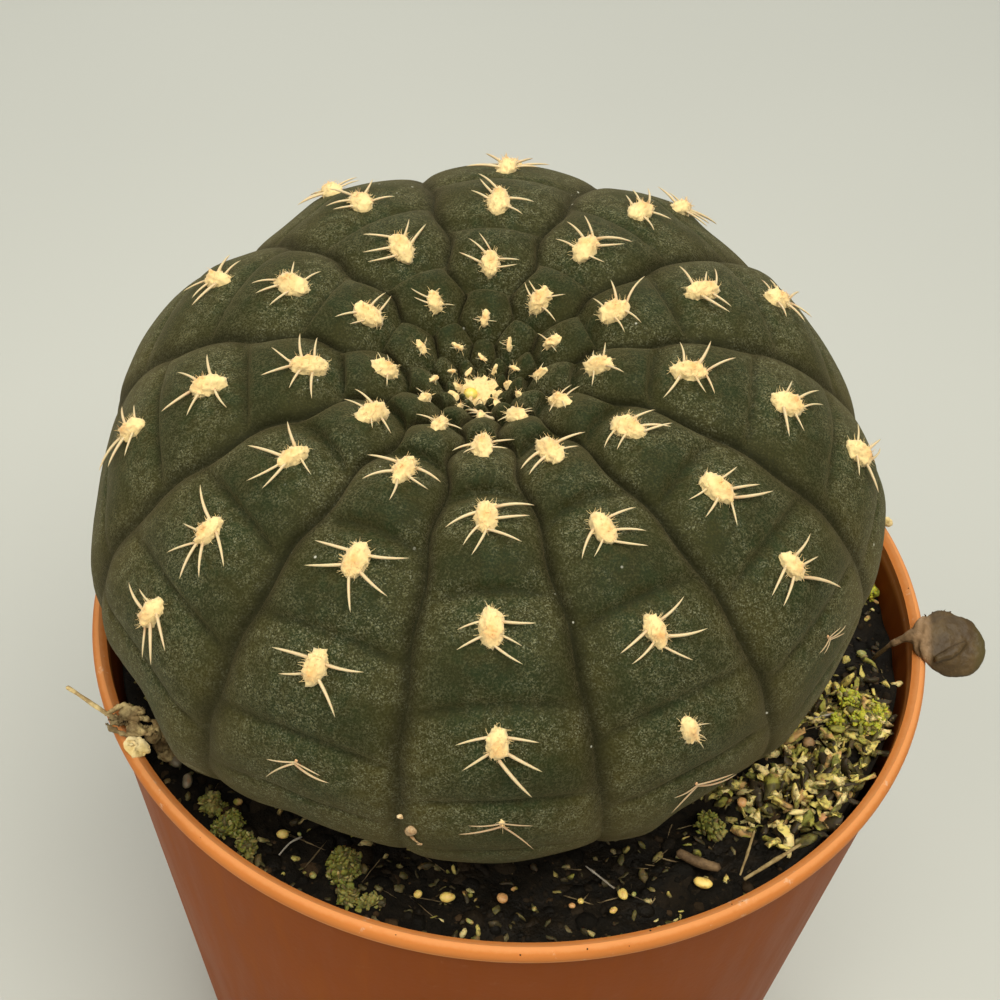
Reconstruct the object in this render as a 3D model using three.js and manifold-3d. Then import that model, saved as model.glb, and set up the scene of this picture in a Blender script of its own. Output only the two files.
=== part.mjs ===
// A chin cactus in a round nursery pot: a flat, twelve-ribbed grey-green body with wool pads and
// spines, in a bed of peat and grit. Millimetres, +Z up. The origin is the middle of the pot's
// underside, and the side towards which the body leans faces -Y.
import * as THREE from 'three';
import { mergeVertices } from 'three/addons/utils/BufferGeometryUtils.js';
import Module from 'manifold-3d';

const wasm = await Module();
wasm.setup();

// Clearance between pieces that touch
const gap = 0.3;

// Pot: a tapered cup of thin plastic with a bead round its rim
const potHeight = 72;
const rimRadius = 42.5;
const beadWidth = 1.42;
const beadHeight = 2;
const footRadius = 35.5;
const wall = 0.9;
const floor = 1.2;
const footRounding = 1.2;
const potSides = 60;

// Pot floor: a ring of it is raised, with the drain holes in that ring
const channelRadii = [17.5, 28.5];
const channelRise = 1.2;
const drainCount = 6;
const drainRadius = 3;

// Soil
const soilBelowRim = 5.6;
const soilEdgeRise = 0.8;
const soilWaves = 0.35;
const soilSides = 60;
const soilRings = [20, 25, 28.5, 32, 35.5];
const grainCount = 34;
const grainSizes = [0.55, 1.15];
const grainBand = [31, 38];

// Cactus body: its centre, its lean, and its outline as the distance from that centre at angles
// from the body's own axis, from the crown down to the root
const bodyCentre = [-3, 0.2, potHeight + 7];
const leanForward = 9.6;
const leanSideways = -3.6;
const outline = [[0, 20.4], [20, 27.6], [40, 33.5], [60, 37.4], [78, 38.6], [90, 36], [104, 32.4], [120, 29]];
const undersideAngles = [90, 100, 110, 120];
const root = [[17, -20.4], [13.4, -24], [9, -28], [5, -36], [2, -46]];

// Ribs are counted from the front, towards +X, and they crowd a little on one side
const ribCount = 12;
const ribAngle = 360 / ribCount;
const ribTurn = 2.8;
const ribCrowding = 8.6;
const crowdedSide = 62;

// Areoles follow a spiral. Their places are counted in steps down a rib, and from one rib to the
// next they shift by five twelfths of a step. Each step is an angle from the body's axis.
const stepAngles = [[-2, 2], [-1, 5], [0, 9.7], [1, 17.7], [2, 28.6], [3, 42.5], [4, 56], [5, 68.6], [6, 78], [7, 88]];
const spiralShift = 5 / ribCount;
const spiralStartRib = 9;
const spiralDrift = 0.177;
const spiralDriftSide = 12;
const youngestStep = -1.2;
const oldestStep = 5.95;

// Relief below the outline: furrows between ribs and creases across them, by steps down a rib
const furrowDepths = [[-2, 0.35], [0, 1.1], [2, 2], [4, 2.6], [6, 2.2], [7.5, 0]];
const furrowBreadth = 0.42;
const furrowWidth = 0.16;
const creaseDepths = [[-2, 0.3], [0, 0.8], [2, 0.75], [4, 0.6], [6, 0.3], [7, 0]];
const creaseAbove = 0.3;
const creaseWidth = 0.13;
const creaseBow = 0.16;

// Wool pads and spines
const padSize = [2.2, 3.5, 1.1];
const youngPadShare = 0.34;
const wornPadShare = 0.6;
const spineLengths = [4, 5.2];
const spineRadius = 0.26;
const spineAngles = [94, -92, 42, -62, 72];
const spineAngleSpread = 20;
const spineLifts = [0.1, 0.28];
const crownWool = [2.1, 2.1, 1.5];

// Dry fruit: a flat oval beyond the rim and a neck over the bead, down to the soil
const fruitSize = [7.6, 6.2, 2.4];
const fruitCentre = [44.3, -3.9, potHeight + 2.3];
const fruitTip = [9, 14];
const fruitNeck = [[43, -3.7, 2.3], [41.2, -3.5, 2.0], [39.4, -3.3, 0.6], [38.3, -3.2, -1.6], [37.6, -3.1, -3.9]];
const fruitNeckRadii = [1.3, 1.5, 1.2, 0.8, 0.6];

// Dry flower: a shrivelled lump over the rim, with its stalk pointing outwards
const flowerLump = [[-35.2, -23.6, 1.5], [-33.4, -23, 1], [-32.2, -22.6, -0.7], [-31.6, -22.1, -3.4]];
const flowerLumpRadii = [0.9, 1.1, 1.1, 0.7];
const flowerStalk = [[-39.6, -21.5, 2.6], [-37.4, -22.3, 1.9], [-35.2, -22.8, 1.4], [-32.6, -22, 0.7]];
const flowerStalkRadii = [0.3, 0.35, 0.4, 0.5];

// Litter on the soil, with heights above it
const longStraw = [[23.4, -29.9, 0.9], [26.4, -28, 1.3], [29.4, -26, 1.4]];
const shortStraw = [[23, -28.9, 1], [23.8, -27.2, 1.7], [24.4, -25.6, 2.2]];
const twig = [[17.6, -28, 1.1], [19.5, -28.6, 1.1], [21.3, -28.9, 1]];

const seed = 11;
const weld = 1e-5;
const radians = THREE.MathUtils.degToRad;
const clamp = THREE.MathUtils.clamp;
const mix = THREE.MathUtils.lerp;

function randomSource(start) {
  let state = start;
  return () => {
    state = (state * 1664525 + 1013904223) % 4294967296;
    return state / 4294967296;
  };
}

// A smooth curve through pairs, which doesn't overshoot between them
function throughPairs(pairs) {
  const slopes = pairs.map((pair, i) => {
    if (i === 0 || i === pairs.length - 1) return 0;
    const before = (pair[1] - pairs[i - 1][1]) / (pair[0] - pairs[i - 1][0]);
    const after = (pairs[i + 1][1] - pair[1]) / (pairs[i + 1][0] - pair[0]);
    return before * after > 0 ? (2 * before * after) / (before + after) : 0;
  });
  return (x) => {
    const past = pairs.findIndex((pair) => pair[0] > x);
    const i = past < 0 ? pairs.length - 2 : Math.max(0, past - 1);
    const [x0, y0] = pairs[i];
    const [x1, y1] = pairs[i + 1];
    const t = clamp((x - x0) / (x1 - x0), 0, 1);
    const bend = t * (1 - t) * (x1 - x0) * ((1 - t) * slopes[i] - t * slopes[i + 1]);
    return y0 + (y1 - y0) * t * t * (3 - 2 * t) + bend;
  };
}

const outlineAt = throughPairs(outline);
const stepAngleAt = throughPairs(stepAngles);
const furrowDepthAt = throughPairs(furrowDepths);
const creaseDepthAt = throughPairs(creaseDepths);

// Solids and meshes

function manifoldOf(geometry, flipped) {
  const index = Array.from(geometry.index.array);
  if (flipped) index.reverse();
  return new wasm.Manifold(new wasm.Mesh({
    numProp: 3,
    vertProperties: new Float32Array(geometry.attributes.position.array),
    triVerts: new Uint32Array(index),
  }));
}

function solidOf(geometry) {
  const bare = geometry.clone();
  bare.deleteAttribute('normal');
  bare.deleteAttribute('uv');
  const welded = mergeVertices(bare, weld);
  const solid = manifoldOf(welded, false);
  return solid.volume() > 0 ? solid : manifoldOf(welded, true);
}

// One body of a join: scraps that the join leaves loose are dropped
function mainBody(solid) {
  return solid.decompose().reduce((best, piece) => (piece.volume() > best.volume() ? piece : best));
}

function meshOf(name, solid, color, roughness, place = new THREE.Matrix4()) {
  const { vertProperties, triVerts } = mainBody(solid).getMesh();
  const geometry = new THREE.BufferGeometry();
  geometry.setAttribute('position', new THREE.BufferAttribute(new Float32Array(vertProperties), 3));
  geometry.setIndex(new THREE.BufferAttribute(new Uint32Array(triVerts), 1));
  const faceted = geometry.toNonIndexed();
  faceted.computeVertexNormals();
  const mesh = new THREE.Mesh(faceted, new THREE.MeshStandardMaterial({ color, roughness, metalness: 0 }));
  mesh.name = name;
  mesh.applyMatrix4(place);
  return mesh;
}

// A closed skin over rings that all have the same count of points, with one point at each end
function skin(rings, first, last) {
  const count = rings[0].length;
  const at = (ring, i) => 1 + ring * count + (i % count);
  const end = 1 + rings.length * count;
  const faces = [];
  for (let i = 0; i < count; i += 1) {
    faces.push(0, at(0, i), at(0, i + 1));
    for (let ring = 0; ring < rings.length - 1; ring += 1) {
      faces.push(at(ring, i), at(ring + 1, i), at(ring + 1, i + 1));
      faces.push(at(ring, i), at(ring + 1, i + 1), at(ring, i + 1));
    }
    faces.push(end, at(rings.length - 1, i + 1), at(rings.length - 1, i));
  }
  const geometry = new THREE.BufferGeometry().setFromPoints([first, ...rings.flat(), last]);
  geometry.setIndex(faces);
  return geometry;
}

function ringAcross(centre, along, radius, sides) {
  const turn = new THREE.Quaternion().setFromUnitVectors(new THREE.Vector3(0, 0, 1), along);
  return Array.from({ length: sides }, (_, side) => {
    const angle = (2 * Math.PI * side) / sides;
    const offset = new THREE.Vector3(Math.cos(angle), Math.sin(angle), 0).multiplyScalar(radius);
    return offset.applyQuaternion(turn).add(centre);
  });
}

// A bent rod with flat sides, which is as thick at each point as its radii say
function rodSolid(points, radii, sides) {
  const path = points.map((point) => new THREE.Vector3(...point));
  const rings = path.map((point, i) => {
    const before = path[Math.max(i - 1, 0)];
    const after = path[Math.min(i + 1, path.length - 1)];
    const along = new THREE.Vector3().subVectors(after, before).normalize();
    return ringAcross(point, along, radii[i], sides);
  });
  return solidOf(skin(rings, path[0], path[path.length - 1]));
}

// Pot

function beadPoints() {
  const middle = new THREE.Vector2(rimRadius - beadWidth / 2, potHeight - beadHeight / 2);
  return [-90, -45, 0, 45, 90].map((degrees) => {
    const angle = radians(degrees);
    const x = middle.x + (Math.cos(angle) * beadWidth) / 2;
    return new THREE.Vector2(x, middle.y + (Math.sin(angle) * beadHeight) / 2);
  });
}

function potProfile() {
  const [inner, outer] = channelRadii;
  const under = [[0, 0], [inner, 0], [inner + 1, channelRise], [outer - 1, channelRise], [outer, 0]];
  const foot = [[footRadius - footRounding, 0], [footRadius, footRounding]];
  const above = [
    [rimRadius - beadWidth, potHeight - 0.5],
    [footRadius - wall, floor + footRounding],
    [footRadius - wall - footRounding, floor],
    [outer + 0.4, floor],
    [outer - 0.6, floor + channelRise],
    [inner + 0.6, floor + channelRise],
    [inner - 0.4, floor],
    [0, floor],
  ];
  const points = (pairs) => pairs.map(([x, y]) => new THREE.Vector2(x, y));
  return [...points(under), ...points(foot), ...beadPoints(), ...points(above)];
}

function pot() {
  const cup = new THREE.LatheGeometry(potProfile(), potSides);
  cup.rotateX(Math.PI / 2);
  const drains = Array.from({ length: drainCount }, (_, i) => {
    const angle = (2 * Math.PI * (i + 0.5)) / drainCount;
    const ringRadius = (channelRadii[0] + channelRadii[1]) / 2;
    const drill = new THREE.CylinderGeometry(drainRadius, drainRadius, 4 * (floor + channelRise), 12);
    drill.rotateX(Math.PI / 2);
    drill.translate(ringRadius * Math.cos(angle), ringRadius * Math.sin(angle), 0);
    return solidOf(drill);
  });
  const solid = solidOf(cup).subtract(wasm.Manifold.union(drains));
  return meshOf('pot', solid, 0xb5622f, 0.45);
}

// Radius of the pot's inside at a height
function potInside(z) {
  const low = floor + footRounding;
  const share = clamp((z - low) / (potHeight - 0.5 - low), 0, 1);
  return mix(footRadius - wall, rimRadius - beadWidth, share);
}

// Cactus

// Azimuth, from the front towards +X, of a turn that is counted in even ribs
function azimuthOf(turn) {
  return radians(turn + ribTurn + ribCrowding * Math.cos(radians(turn + crowdedSide)));
}

function aroundAxis(azimuth, out, up) {
  return new THREE.Vector3(out * Math.sin(azimuth), -out * Math.cos(azimuth), up);
}

function turnOf(rib, across) {
  return (rib + across / 2) * ribAngle;
}

function bodyPoint(turn, polar, radius) {
  return aroundAxis(azimuthOf(turn), radius * Math.sin(radians(polar)), radius * Math.cos(radians(polar)));
}

// How far a rib's areoles are shifted down it, in steps
function ribShift(rib) {
  const shift = ((rib - spiralStartRib + ribCount) % ribCount) * spiralShift;
  return shift - Math.round(shift) + spiralDrift * Math.cos(radians(rib * ribAngle + spiralDriftSide));
}

// Across runs from -1 to 1 over a rib, from furrow to furrow
function furrow(across, step) {
  const width = Math.abs(across);
  const groove = Math.exp(-(1 - width) / furrowWidth);
  return furrowDepthAt(step) * mix(groove, width * width, furrowBreadth);
}

function crease(across, step, shift) {
  const place = step - shift - creaseBow * across * across + creaseAbove;
  const distance = place - Math.round(place);
  const groove = Math.exp(-((distance / creaseWidth) ** 2)) * (1 - 0.5 * across ** 4);
  const swell = 0.5 + 0.5 * Math.cos(2 * Math.PI * distance);
  return creaseDepthAt(step) * mix(groove, swell, 0.4);
}

function ribPoint(rib, across, step) {
  const polar = stepAngleAt(step);
  const depth = furrow(across, step) + crease(across, step, ribShift(rib));
  return bodyPoint(turnOf(rib, across), polar, outlineAt(polar) - depth);
}

const ribColumns = [-0.8, -0.3, 0.3, 0.8, 1];

function ringOfRibs(pointAt) {
  return Array.from({ length: ribCount }, (_, rib) => ribColumns.map((across) => pointAt(rib, across))).flat();
}

// The rings of a rib follow its creases, and where two ribs meet, in the furrow, they meet halfway
function ribRing(step) {
  const hold = clamp((6.6 - step) / 1.2, 0, 1);
  return ringOfRibs((rib, across) => {
    const own = ribShift(rib);
    const beside = ribShift((rib + 1) % ribCount);
    const shift = across === 1 ? (own + beside) / 2 : own;
    return ribPoint(rib, across, step + shift * hold);
  });
}

function undersideRing(polar) {
  const step = 6.8 + (polar - 90) / 12;
  return ringOfRibs((rib, across) => bodyPoint(turnOf(rib, across), polar, outlineAt(polar) - furrow(across, step)));
}

function bodySolid() {
  const rings = [];
  for (let cell = -1; cell <= 6; cell += 1) {
    [-0.3, -0.12, 0.32].forEach((part) => {
      if (cell + part < 6.3) rings.push(ribRing(cell + part));
    });
  }
  undersideAngles.forEach((polar) => rings.push(undersideRing(polar)));
  root.forEach(([radius, z]) => {
    rings.push(ringOfRibs((rib, across) => aroundAxis(azimuthOf(turnOf(rib, across)), radius, z)));
  });
  const crown = new THREE.Vector3(0, 0, outline[0][1] - 1.2);
  const tip = new THREE.Vector3(0, 0, root[root.length - 1][1] - 1);
  return solidOf(skin(rings, crown, tip));
}

// An areole's place on a rib, with its directions down the rib, across it and out of the skin
function areoleOn(rib, step) {
  const place = ribPoint(rib, 0, step);
  const down = ribPoint(rib, 0, step + 0.12).sub(ribPoint(rib, 0, step - 0.12)).normalize();
  const beside = ribPoint(rib, 0.15, step).sub(ribPoint(rib, -0.15, step)).normalize();
  const out = new THREE.Vector3().crossVectors(down, beside).normalize();
  return { step, place, down, beside, out };
}

function areoles() {
  const found = [];
  for (let rib = 0; rib < ribCount; rib += 1) {
    for (let cell = -2; cell <= 6; cell += 1) {
      const step = cell + ribShift(rib);
      if (step > youngestStep && step < oldestStep) found.push(areoleOn(rib, step));
    }
  }
  return found;
}

// Areoles are tiny in the crown, full on the shoulder and worn at the base
function grownShare(step) {
  if (step < 0.9) return THREE.MathUtils.mapLinear(step, youngestStep, 0.9, youngPadShare, 0.9);
  return step > 5 ? THREE.MathUtils.mapLinear(step, 5, oldestStep, 1, wornPadShare) : 1;
}

function spineCount(step) {
  if (step < -0.5) return 0;
  if (step < 0.5) return 3;
  return step > 5.3 ? 3 : 5;
}

function padSolid(areole) {
  const [width, length, height] = padSize.map((size) => size * grownShare(areole.step));
  const dome = new THREE.SphereGeometry(1, 6, 2);
  dome.rotateX(Math.PI / 2);
  dome.scale(length / 2, width / 2, height);
  const frame = new THREE.Matrix4().makeBasis(areole.down, areole.beside, areole.out);
  dome.applyMatrix4(frame.setPosition(areole.place));
  return solidOf(dome);
}

// A three-sided needle
function needleSolid(start, tip, radius) {
  const along = new THREE.Vector3().subVectors(tip, start).normalize();
  const foot = ringAcross(start, along, radius, 3);
  const geometry = new THREE.BufferGeometry().setFromPoints([...foot, tip]);
  geometry.setIndex([0, 2, 1, 0, 1, 3, 1, 2, 3, 2, 0, 3]);
  return solidOf(geometry);
}

// Spines comb out of both sides of a pad and droop towards the pot, low over the skin
function spineSolids(areole, random) {
  const share = grownShare(areole.step);
  return spineAngles.slice(0, spineCount(areole.step)).map((degrees) => {
    const angle = radians(degrees + (random() - 0.5) * spineAngleSpread);
    const start = areole.place.clone();
    start.addScaledVector(areole.down, 0.28 * padSize[1] * share * Math.cos(angle));
    start.addScaledVector(areole.out, 0.25 * padSize[2] * share);
    const way = areole.down.clone().multiplyScalar(Math.cos(angle));
    way.addScaledVector(areole.beside, Math.sin(angle));
    way.addScaledVector(areole.out, mix(...spineLifts, random())).normalize();
    const tip = start.clone().addScaledVector(way, mix(...spineLengths, random()) * share);
    return needleSolid(start, tip, spineRadius * share);
  });
}

function crownWoolSolid() {
  const tuft = new THREE.IcosahedronGeometry(1, 1);
  tuft.scale(...crownWool);
  tuft.translate(0, 0, outline[0][1] - 0.6);
  return solidOf(tuft);
}

function bodyPlace() {
  const turn = new THREE.Euler(radians(leanForward), radians(leanSideways), 0);
  return new THREE.Matrix4().makeRotationFromEuler(turn).setPosition(...bodyCentre);
}

function cactus() {
  const random = randomSource(seed);
  const grown = areoles().flatMap((areole) => [padSolid(areole), ...spineSolids(areole, random)]);
  const solid = wasm.Manifold.union([bodySolid(), crownWoolSolid(), ...grown]);
  return meshOf('cactus', solid, 0x4a5238, 0.85, bodyPlace());
}

// Soil

function soilHeight(x, y) {
  const waves = Math.sin(0.61 * x + 1.3) * Math.cos(0.53 * y) + 0.6 * Math.sin(1.13 * x - 0.9 * y);
  const edge = soilEdgeRise * THREE.MathUtils.smoothstep(Math.hypot(x, y), 30, 40);
  return potHeight - soilBelowRim + edge + soilWaves * waves;
}

function soilRing(radius, z) {
  return Array.from({ length: soilSides }, (_, i) => {
    const angle = (2 * Math.PI * i) / soilSides;
    const x = radius * Math.cos(angle);
    const y = radius * Math.sin(angle);
    return new THREE.Vector3(x, y, z === undefined ? soilHeight(x, y) : z);
  });
}

// The plain hole in which the lower body and the root stand
function socketSolid() {
  const lowest = root[root.length - 1][1] - 1 - gap;
  const rooted = [...root].reverse().map(([radius, z]) => new THREE.Vector2(radius + gap, z - gap));
  const flank = [...undersideAngles].reverse().map((polar) => {
    const radius = outlineAt(polar) + gap;
    return new THREE.Vector2(radius * Math.sin(radians(polar)), radius * Math.cos(radians(polar)));
  });
  const profile = [new THREE.Vector2(0, lowest), ...rooted, ...flank, new THREE.Vector2(0, 2)];
  const space = new THREE.LatheGeometry(profile, 48);
  space.rotateX(Math.PI / 2);
  space.applyMatrix4(bodyPlace());
  return solidOf(space);
}

function grainSolids() {
  const random = randomSource(seed + 1);
  return Array.from({ length: grainCount }, (_, i) => {
    const angle = (2 * Math.PI * (i + 0.6 * random())) / grainCount;
    const radius = mix(...grainBand, random());
    const size = mix(...grainSizes, random());
    const x = radius * Math.cos(angle);
    const y = radius * Math.sin(angle);
    const grain = new THREE.OctahedronGeometry(size, 0);
    grain.rotateX(random() * Math.PI);
    grain.rotateY(random() * Math.PI);
    grain.translate(x, y, soilHeight(x, y) + 0.15 * size);
    return solidOf(grain);
  });
}

function soil() {
  const wallGap = gap + 0.15;
  const floorTop = floor + channelRise + gap;
  const rings = soilRings.map((radius) => soilRing(radius));
  rings.push(soilRing(potInside(potHeight - soilBelowRim) - wallGap));
  rings.push(soilRing(potInside(floorTop) - wallGap - footRounding, floorTop));
  const top = new THREE.Vector3(0, 0, potHeight - soilBelowRim);
  const bed = solidOf(skin(rings, top, new THREE.Vector3(0, 0, floorTop)));
  const solid = wasm.Manifold.union([bed, ...grainSolids()]).subtract(socketSolid());
  return meshOf('soil', solid, 0x2a2119, 1);
}

// Dry things on the rim and the soil

function onRim([x, y, z]) {
  return [x, y, potHeight + z];
}

function onSoil([x, y, z]) {
  return [x, y, soilHeight(x, y) + z];
}

function dryFruit() {
  const flesh = new THREE.SphereGeometry(0.5, 12, 8);
  flesh.scale(...fruitSize);
  flesh.rotateY(radians(fruitTip[0]));
  flesh.rotateX(radians(fruitTip[1]));
  flesh.translate(...fruitCentre);
  const neck = rodSolid(fruitNeck.map(onRim), fruitNeckRadii, 8);
  return meshOf('dry_fruit', solidOf(flesh).add(neck), 0x4f3f31, 0.8);
}

function dryFlower() {
  const lump = rodSolid(flowerLump.map(onRim), flowerLumpRadii, 7);
  const stalk = rodSolid(flowerStalk.map(onRim), flowerStalkRadii, 6);
  return meshOf('dry_flower', lump.add(stalk), 0x6b5334, 0.9);
}

function litter(name, points, radii, color) {
  return meshOf(name, rodSolid(points.map(onSoil), radii, 6), color, 0.8);
}

const part = new THREE.Group();
part.add(pot());
part.add(soil());
part.add(cactus());
part.add(dryFruit());
part.add(dryFlower());
part.add(litter('straw_long', longStraw, [0.28, 0.34, 0.24], 0xa89a5c));
part.add(litter('straw_short', shortStraw, [0.2, 0.24, 0.18], 0xa89a5c));
part.add(litter('twig', twig, [0.4, 0.5, 0.4], 0x5b4330));

export default part;
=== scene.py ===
"""A chin cactus in a round nursery pot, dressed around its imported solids.

Lengths are in metres, in the frame of the solids: +Z up, the origin in the middle of the pot's
underside, and -Y the side towards which the plant leans. Ribs are counted from the front towards
+X, and places down a rib are counted in steps from one areole to the next.
"""

import math

import bmesh
import bpy
from mathutils import Euler, Matrix, Vector, noise


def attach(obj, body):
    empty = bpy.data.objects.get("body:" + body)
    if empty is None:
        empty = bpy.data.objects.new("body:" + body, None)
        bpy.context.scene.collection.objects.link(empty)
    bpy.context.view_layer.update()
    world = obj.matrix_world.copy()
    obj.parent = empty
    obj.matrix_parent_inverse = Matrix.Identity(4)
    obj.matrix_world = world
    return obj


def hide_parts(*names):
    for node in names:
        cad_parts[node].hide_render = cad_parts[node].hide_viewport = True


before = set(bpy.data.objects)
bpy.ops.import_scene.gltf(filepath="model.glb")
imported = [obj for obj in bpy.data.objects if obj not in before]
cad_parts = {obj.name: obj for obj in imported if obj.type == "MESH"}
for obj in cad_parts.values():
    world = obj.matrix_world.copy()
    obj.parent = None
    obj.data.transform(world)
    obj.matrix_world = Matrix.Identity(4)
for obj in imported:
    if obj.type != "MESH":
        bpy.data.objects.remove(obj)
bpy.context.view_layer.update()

bl_info = {
    "name": "Potted Cactus",
    "version": (1, 0, 0),
    "blender": (4, 5, 0),
    "location": "3D View > Sidebar > Potted Cactus",
    "description": "Builds a ribbed chin cactus with wool and spines in a nursery pot",
    "category": "Add Mesh",
}

BODY = "root"
MM = 0.001

# Ribs and the spiral of areoles
RIBS = 12
RIB_ANGLE = math.radians(360 / RIBS)
SPIRAL_SHIFT = 5 / RIBS
SPIRAL_START_RIB = 9
SPIRAL_DRIFT = 0.177
SPIRAL_DRIFT_SIDE = math.radians(12)
CELLS = 9
FIRST_CELL = -2
YOUNGEST_STEP = -1.2
OLDEST_STEP = 5.95
POLE_STEP = -2.6
ROOT_STEP = 12.0

# Angle from the plant's axis at each step, in half turns
STEP_ANGLES = [
    (-2.6, 0), (-2, 2), (-1, 5), (0, 9.7), (1, 17.7), (2, 28.6), (3, 42.5), (4, 56),
    (5, 68.6), (6, 78), (7, 88), (8.4, 104), (9.6, 120), (10.4, 140), (12, 180),
]
# Distance from the plant's centre at each angle, in millimetres
OUTLINE = [
    (0, 20.4), (20, 27.6), (40, 33.7), (60, 38), (72, 39), (80, 38.5), (88, 36.4), (96, 33.6),
    (104, 31), (120, 27.8), (140, 26.3), (151, 27.4), (162, 29.4), (172, 36.3), (180, 46),
]

# Shares of the full relief at each step
FURROW_SHARES = [
    (-2.6, 0), (-2, 0.25), (0, 0.75), (2, 0.85), (3.2, 0.76), (4.5, 0.52), (6, 0.38), (7.5, 0.28),
    (9, 0.22), (10.4, 0.1), (11.4, 0),
]
CREASE_SHARES = [
    (-2.6, 0), (-2, 0.6), (-1, 1.6), (0, 2.5), (1, 2.8), (2, 2.2), (3, 1.5), (4, 1.1), (6, 0.5),
    (7, 0),
]
WEAVE_SHARES = [(-2.6, 0), (-1, 0.9), (0.6, 1), (2, 0.4), (3, 0.15), (5, 0.05), (7, 0)]
FURROW_BREADTH = 0.55
# Widths of the narrow grooves, as shares of half a rib and of a step
FURROW_WIDTHS = [(-2.6, 0.3), (0, 0.2), (2, 0.12), (4, 0.1), (7, 0.09)]
CREASE_WIDTHS = [(-2.6, 0.17), (0, 0.14), (2, 0.09), (4, 0.055), (7, 0.05)]
CREASE_ABOVE = 0.3
CREASE_BOW = 0.16
CHIN_SHARE = 0.45
# Where the flank swells or sinks: degrees round the plant and from its axis, reach in degrees
# round the plant, and millimetres
FLANK_SWELLS = [
    (-36, 84, 14, 1.0), (-22, 89, 18, -1.2), (-49, 80, 10, -0.6), (-83, 72, 16, -1.0),
    (-64, 80, 18, 0.35), (108, 69, 22, -1.0), (-132, 61, 14, -0.9), (6, 92, 22, -0.5),
    (136, 62, 12, -1.0), (60, 82, 12, -0.6), (36, 87, 10, -0.9),
]
TUBERCLE_MIDDLE = 0.2

# How grown the wool and the spines of an areole are at each step
WOOL_SHARES = [
    (-1.2, 0.34), (0, 0.42), (0.5, 0.56), (1, 0.8), (1.8, 1.04), (2.4, 1.06), (4.5, 1), (4.9, 0.8),
    (5.2, 0.5), (5.95, 0.3),
]
SPINE_SHARES = [
    (-1.2, 0.16), (0, 0.24), (0.6, 0.36), (1.1, 0.62), (1.8, 0.9), (2.4, 1), (4.5, 1), (5, 0.86),
    (5.95, 0.95),
]
# Worn areoles: rib and place down the rib, and the shares of wool and of spine length left there
WORN_AREOLES = [
    (0, 5, 0.8, 1.1), (1, 5, 0.95, 0.5), (1, 6, 0.4, 1), (2, 5, 0.3, 0.75), (11, 5, 0.2, 1),
    (3, 6, 0, 0), (4, 5, 0, 0), (8, 5, 0, 0), (9, 5, 0, 0), (10, 5, 0, 0),
]
# How many spines grow at each step, and how many at most
SPINE_COUNTS = [(-1.2, 0.4), (-0.4, 1.6), (0.9, 3), (1.7, 4.6), (2.4, 5.3), (4.9, 5.1), (5.9, 4)]
MOST_SPINES = 6
# Where pairs of spines stand in their pad: the share of its reach from pair to pair, how many of
# these shares the first pair stands before the middle, and the height of their feet
FOOT_SPACING = 0.26
FIRST_FOOT = 0.6
FOOT_HEIGHT = 0.22 * MM
# Start, middle and end of a spine and of a hair, one unit long, and their radii along them
SPINE_BEND = ((0, 0, 0), (0.55, 0, 0.09), (1, 0, -0.03))
SPINE_TAPER = [(0, 0.95), (0.25, 0.95), (0.6, 0.8), (0.88, 0.46), (1, 0.06)]
HAIR_BEND = ((0, 0, 0), (0.5, 0, 0.12), (0.85, 0, 0.5))
HAIR_TAPER = [(0, 0.055), (1, 0.02)]
# Turns and steps between which the way that an areole faces is measured
NEAR_TURN = 0.075
NEAR_STEP = 0.12
# Areoles less grown than this have no wool
LEAST_GROWN = 0.03
WOOL_SEED = 3
# Points closer together than this become one where a grid closes
SEAM_GAP = 0.004 * MM
# Densities are counted per square millimetre
PER_SQUARE_MM = 1e6


# Node trees


def arithmetic(operation, swapped=False):
    """A method of Value that adds one Math node."""

    def method(self, other):
        pair = (other, self) if swapped else (self, other)
        return self.nodes.math(operation, *pair)

    return method


class Value:
    """A socket of a node tree. Plain arithmetic with it adds Math nodes."""

    def __init__(self, nodes, socket):
        self.nodes = nodes
        self.socket = socket

    __add__ = arithmetic("ADD")
    __radd__ = arithmetic("ADD", swapped=True)
    __sub__ = arithmetic("SUBTRACT")
    __rsub__ = arithmetic("SUBTRACT", swapped=True)
    __mul__ = arithmetic("MULTIPLY")
    __rmul__ = arithmetic("MULTIPLY", swapped=True)
    __truediv__ = arithmetic("DIVIDE")
    __pow__ = arithmetic("POWER")
    __mod__ = arithmetic("FLOORED_MODULO")

    def __neg__(self):
        return self.nodes.math("MULTIPLY", self, -1)

    def __abs__(self):
        return self.nodes.math("ABSOLUTE", self)


def titled(name):
    """The label of a named input: "pad_length" is "Pad Length"."""
    return name.replace("_", " ").title()


def open_socket(sockets, name):
    """The first socket of that name that is in use."""
    return next(socket for socket in sockets if socket.name == name and socket.enabled)


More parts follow.
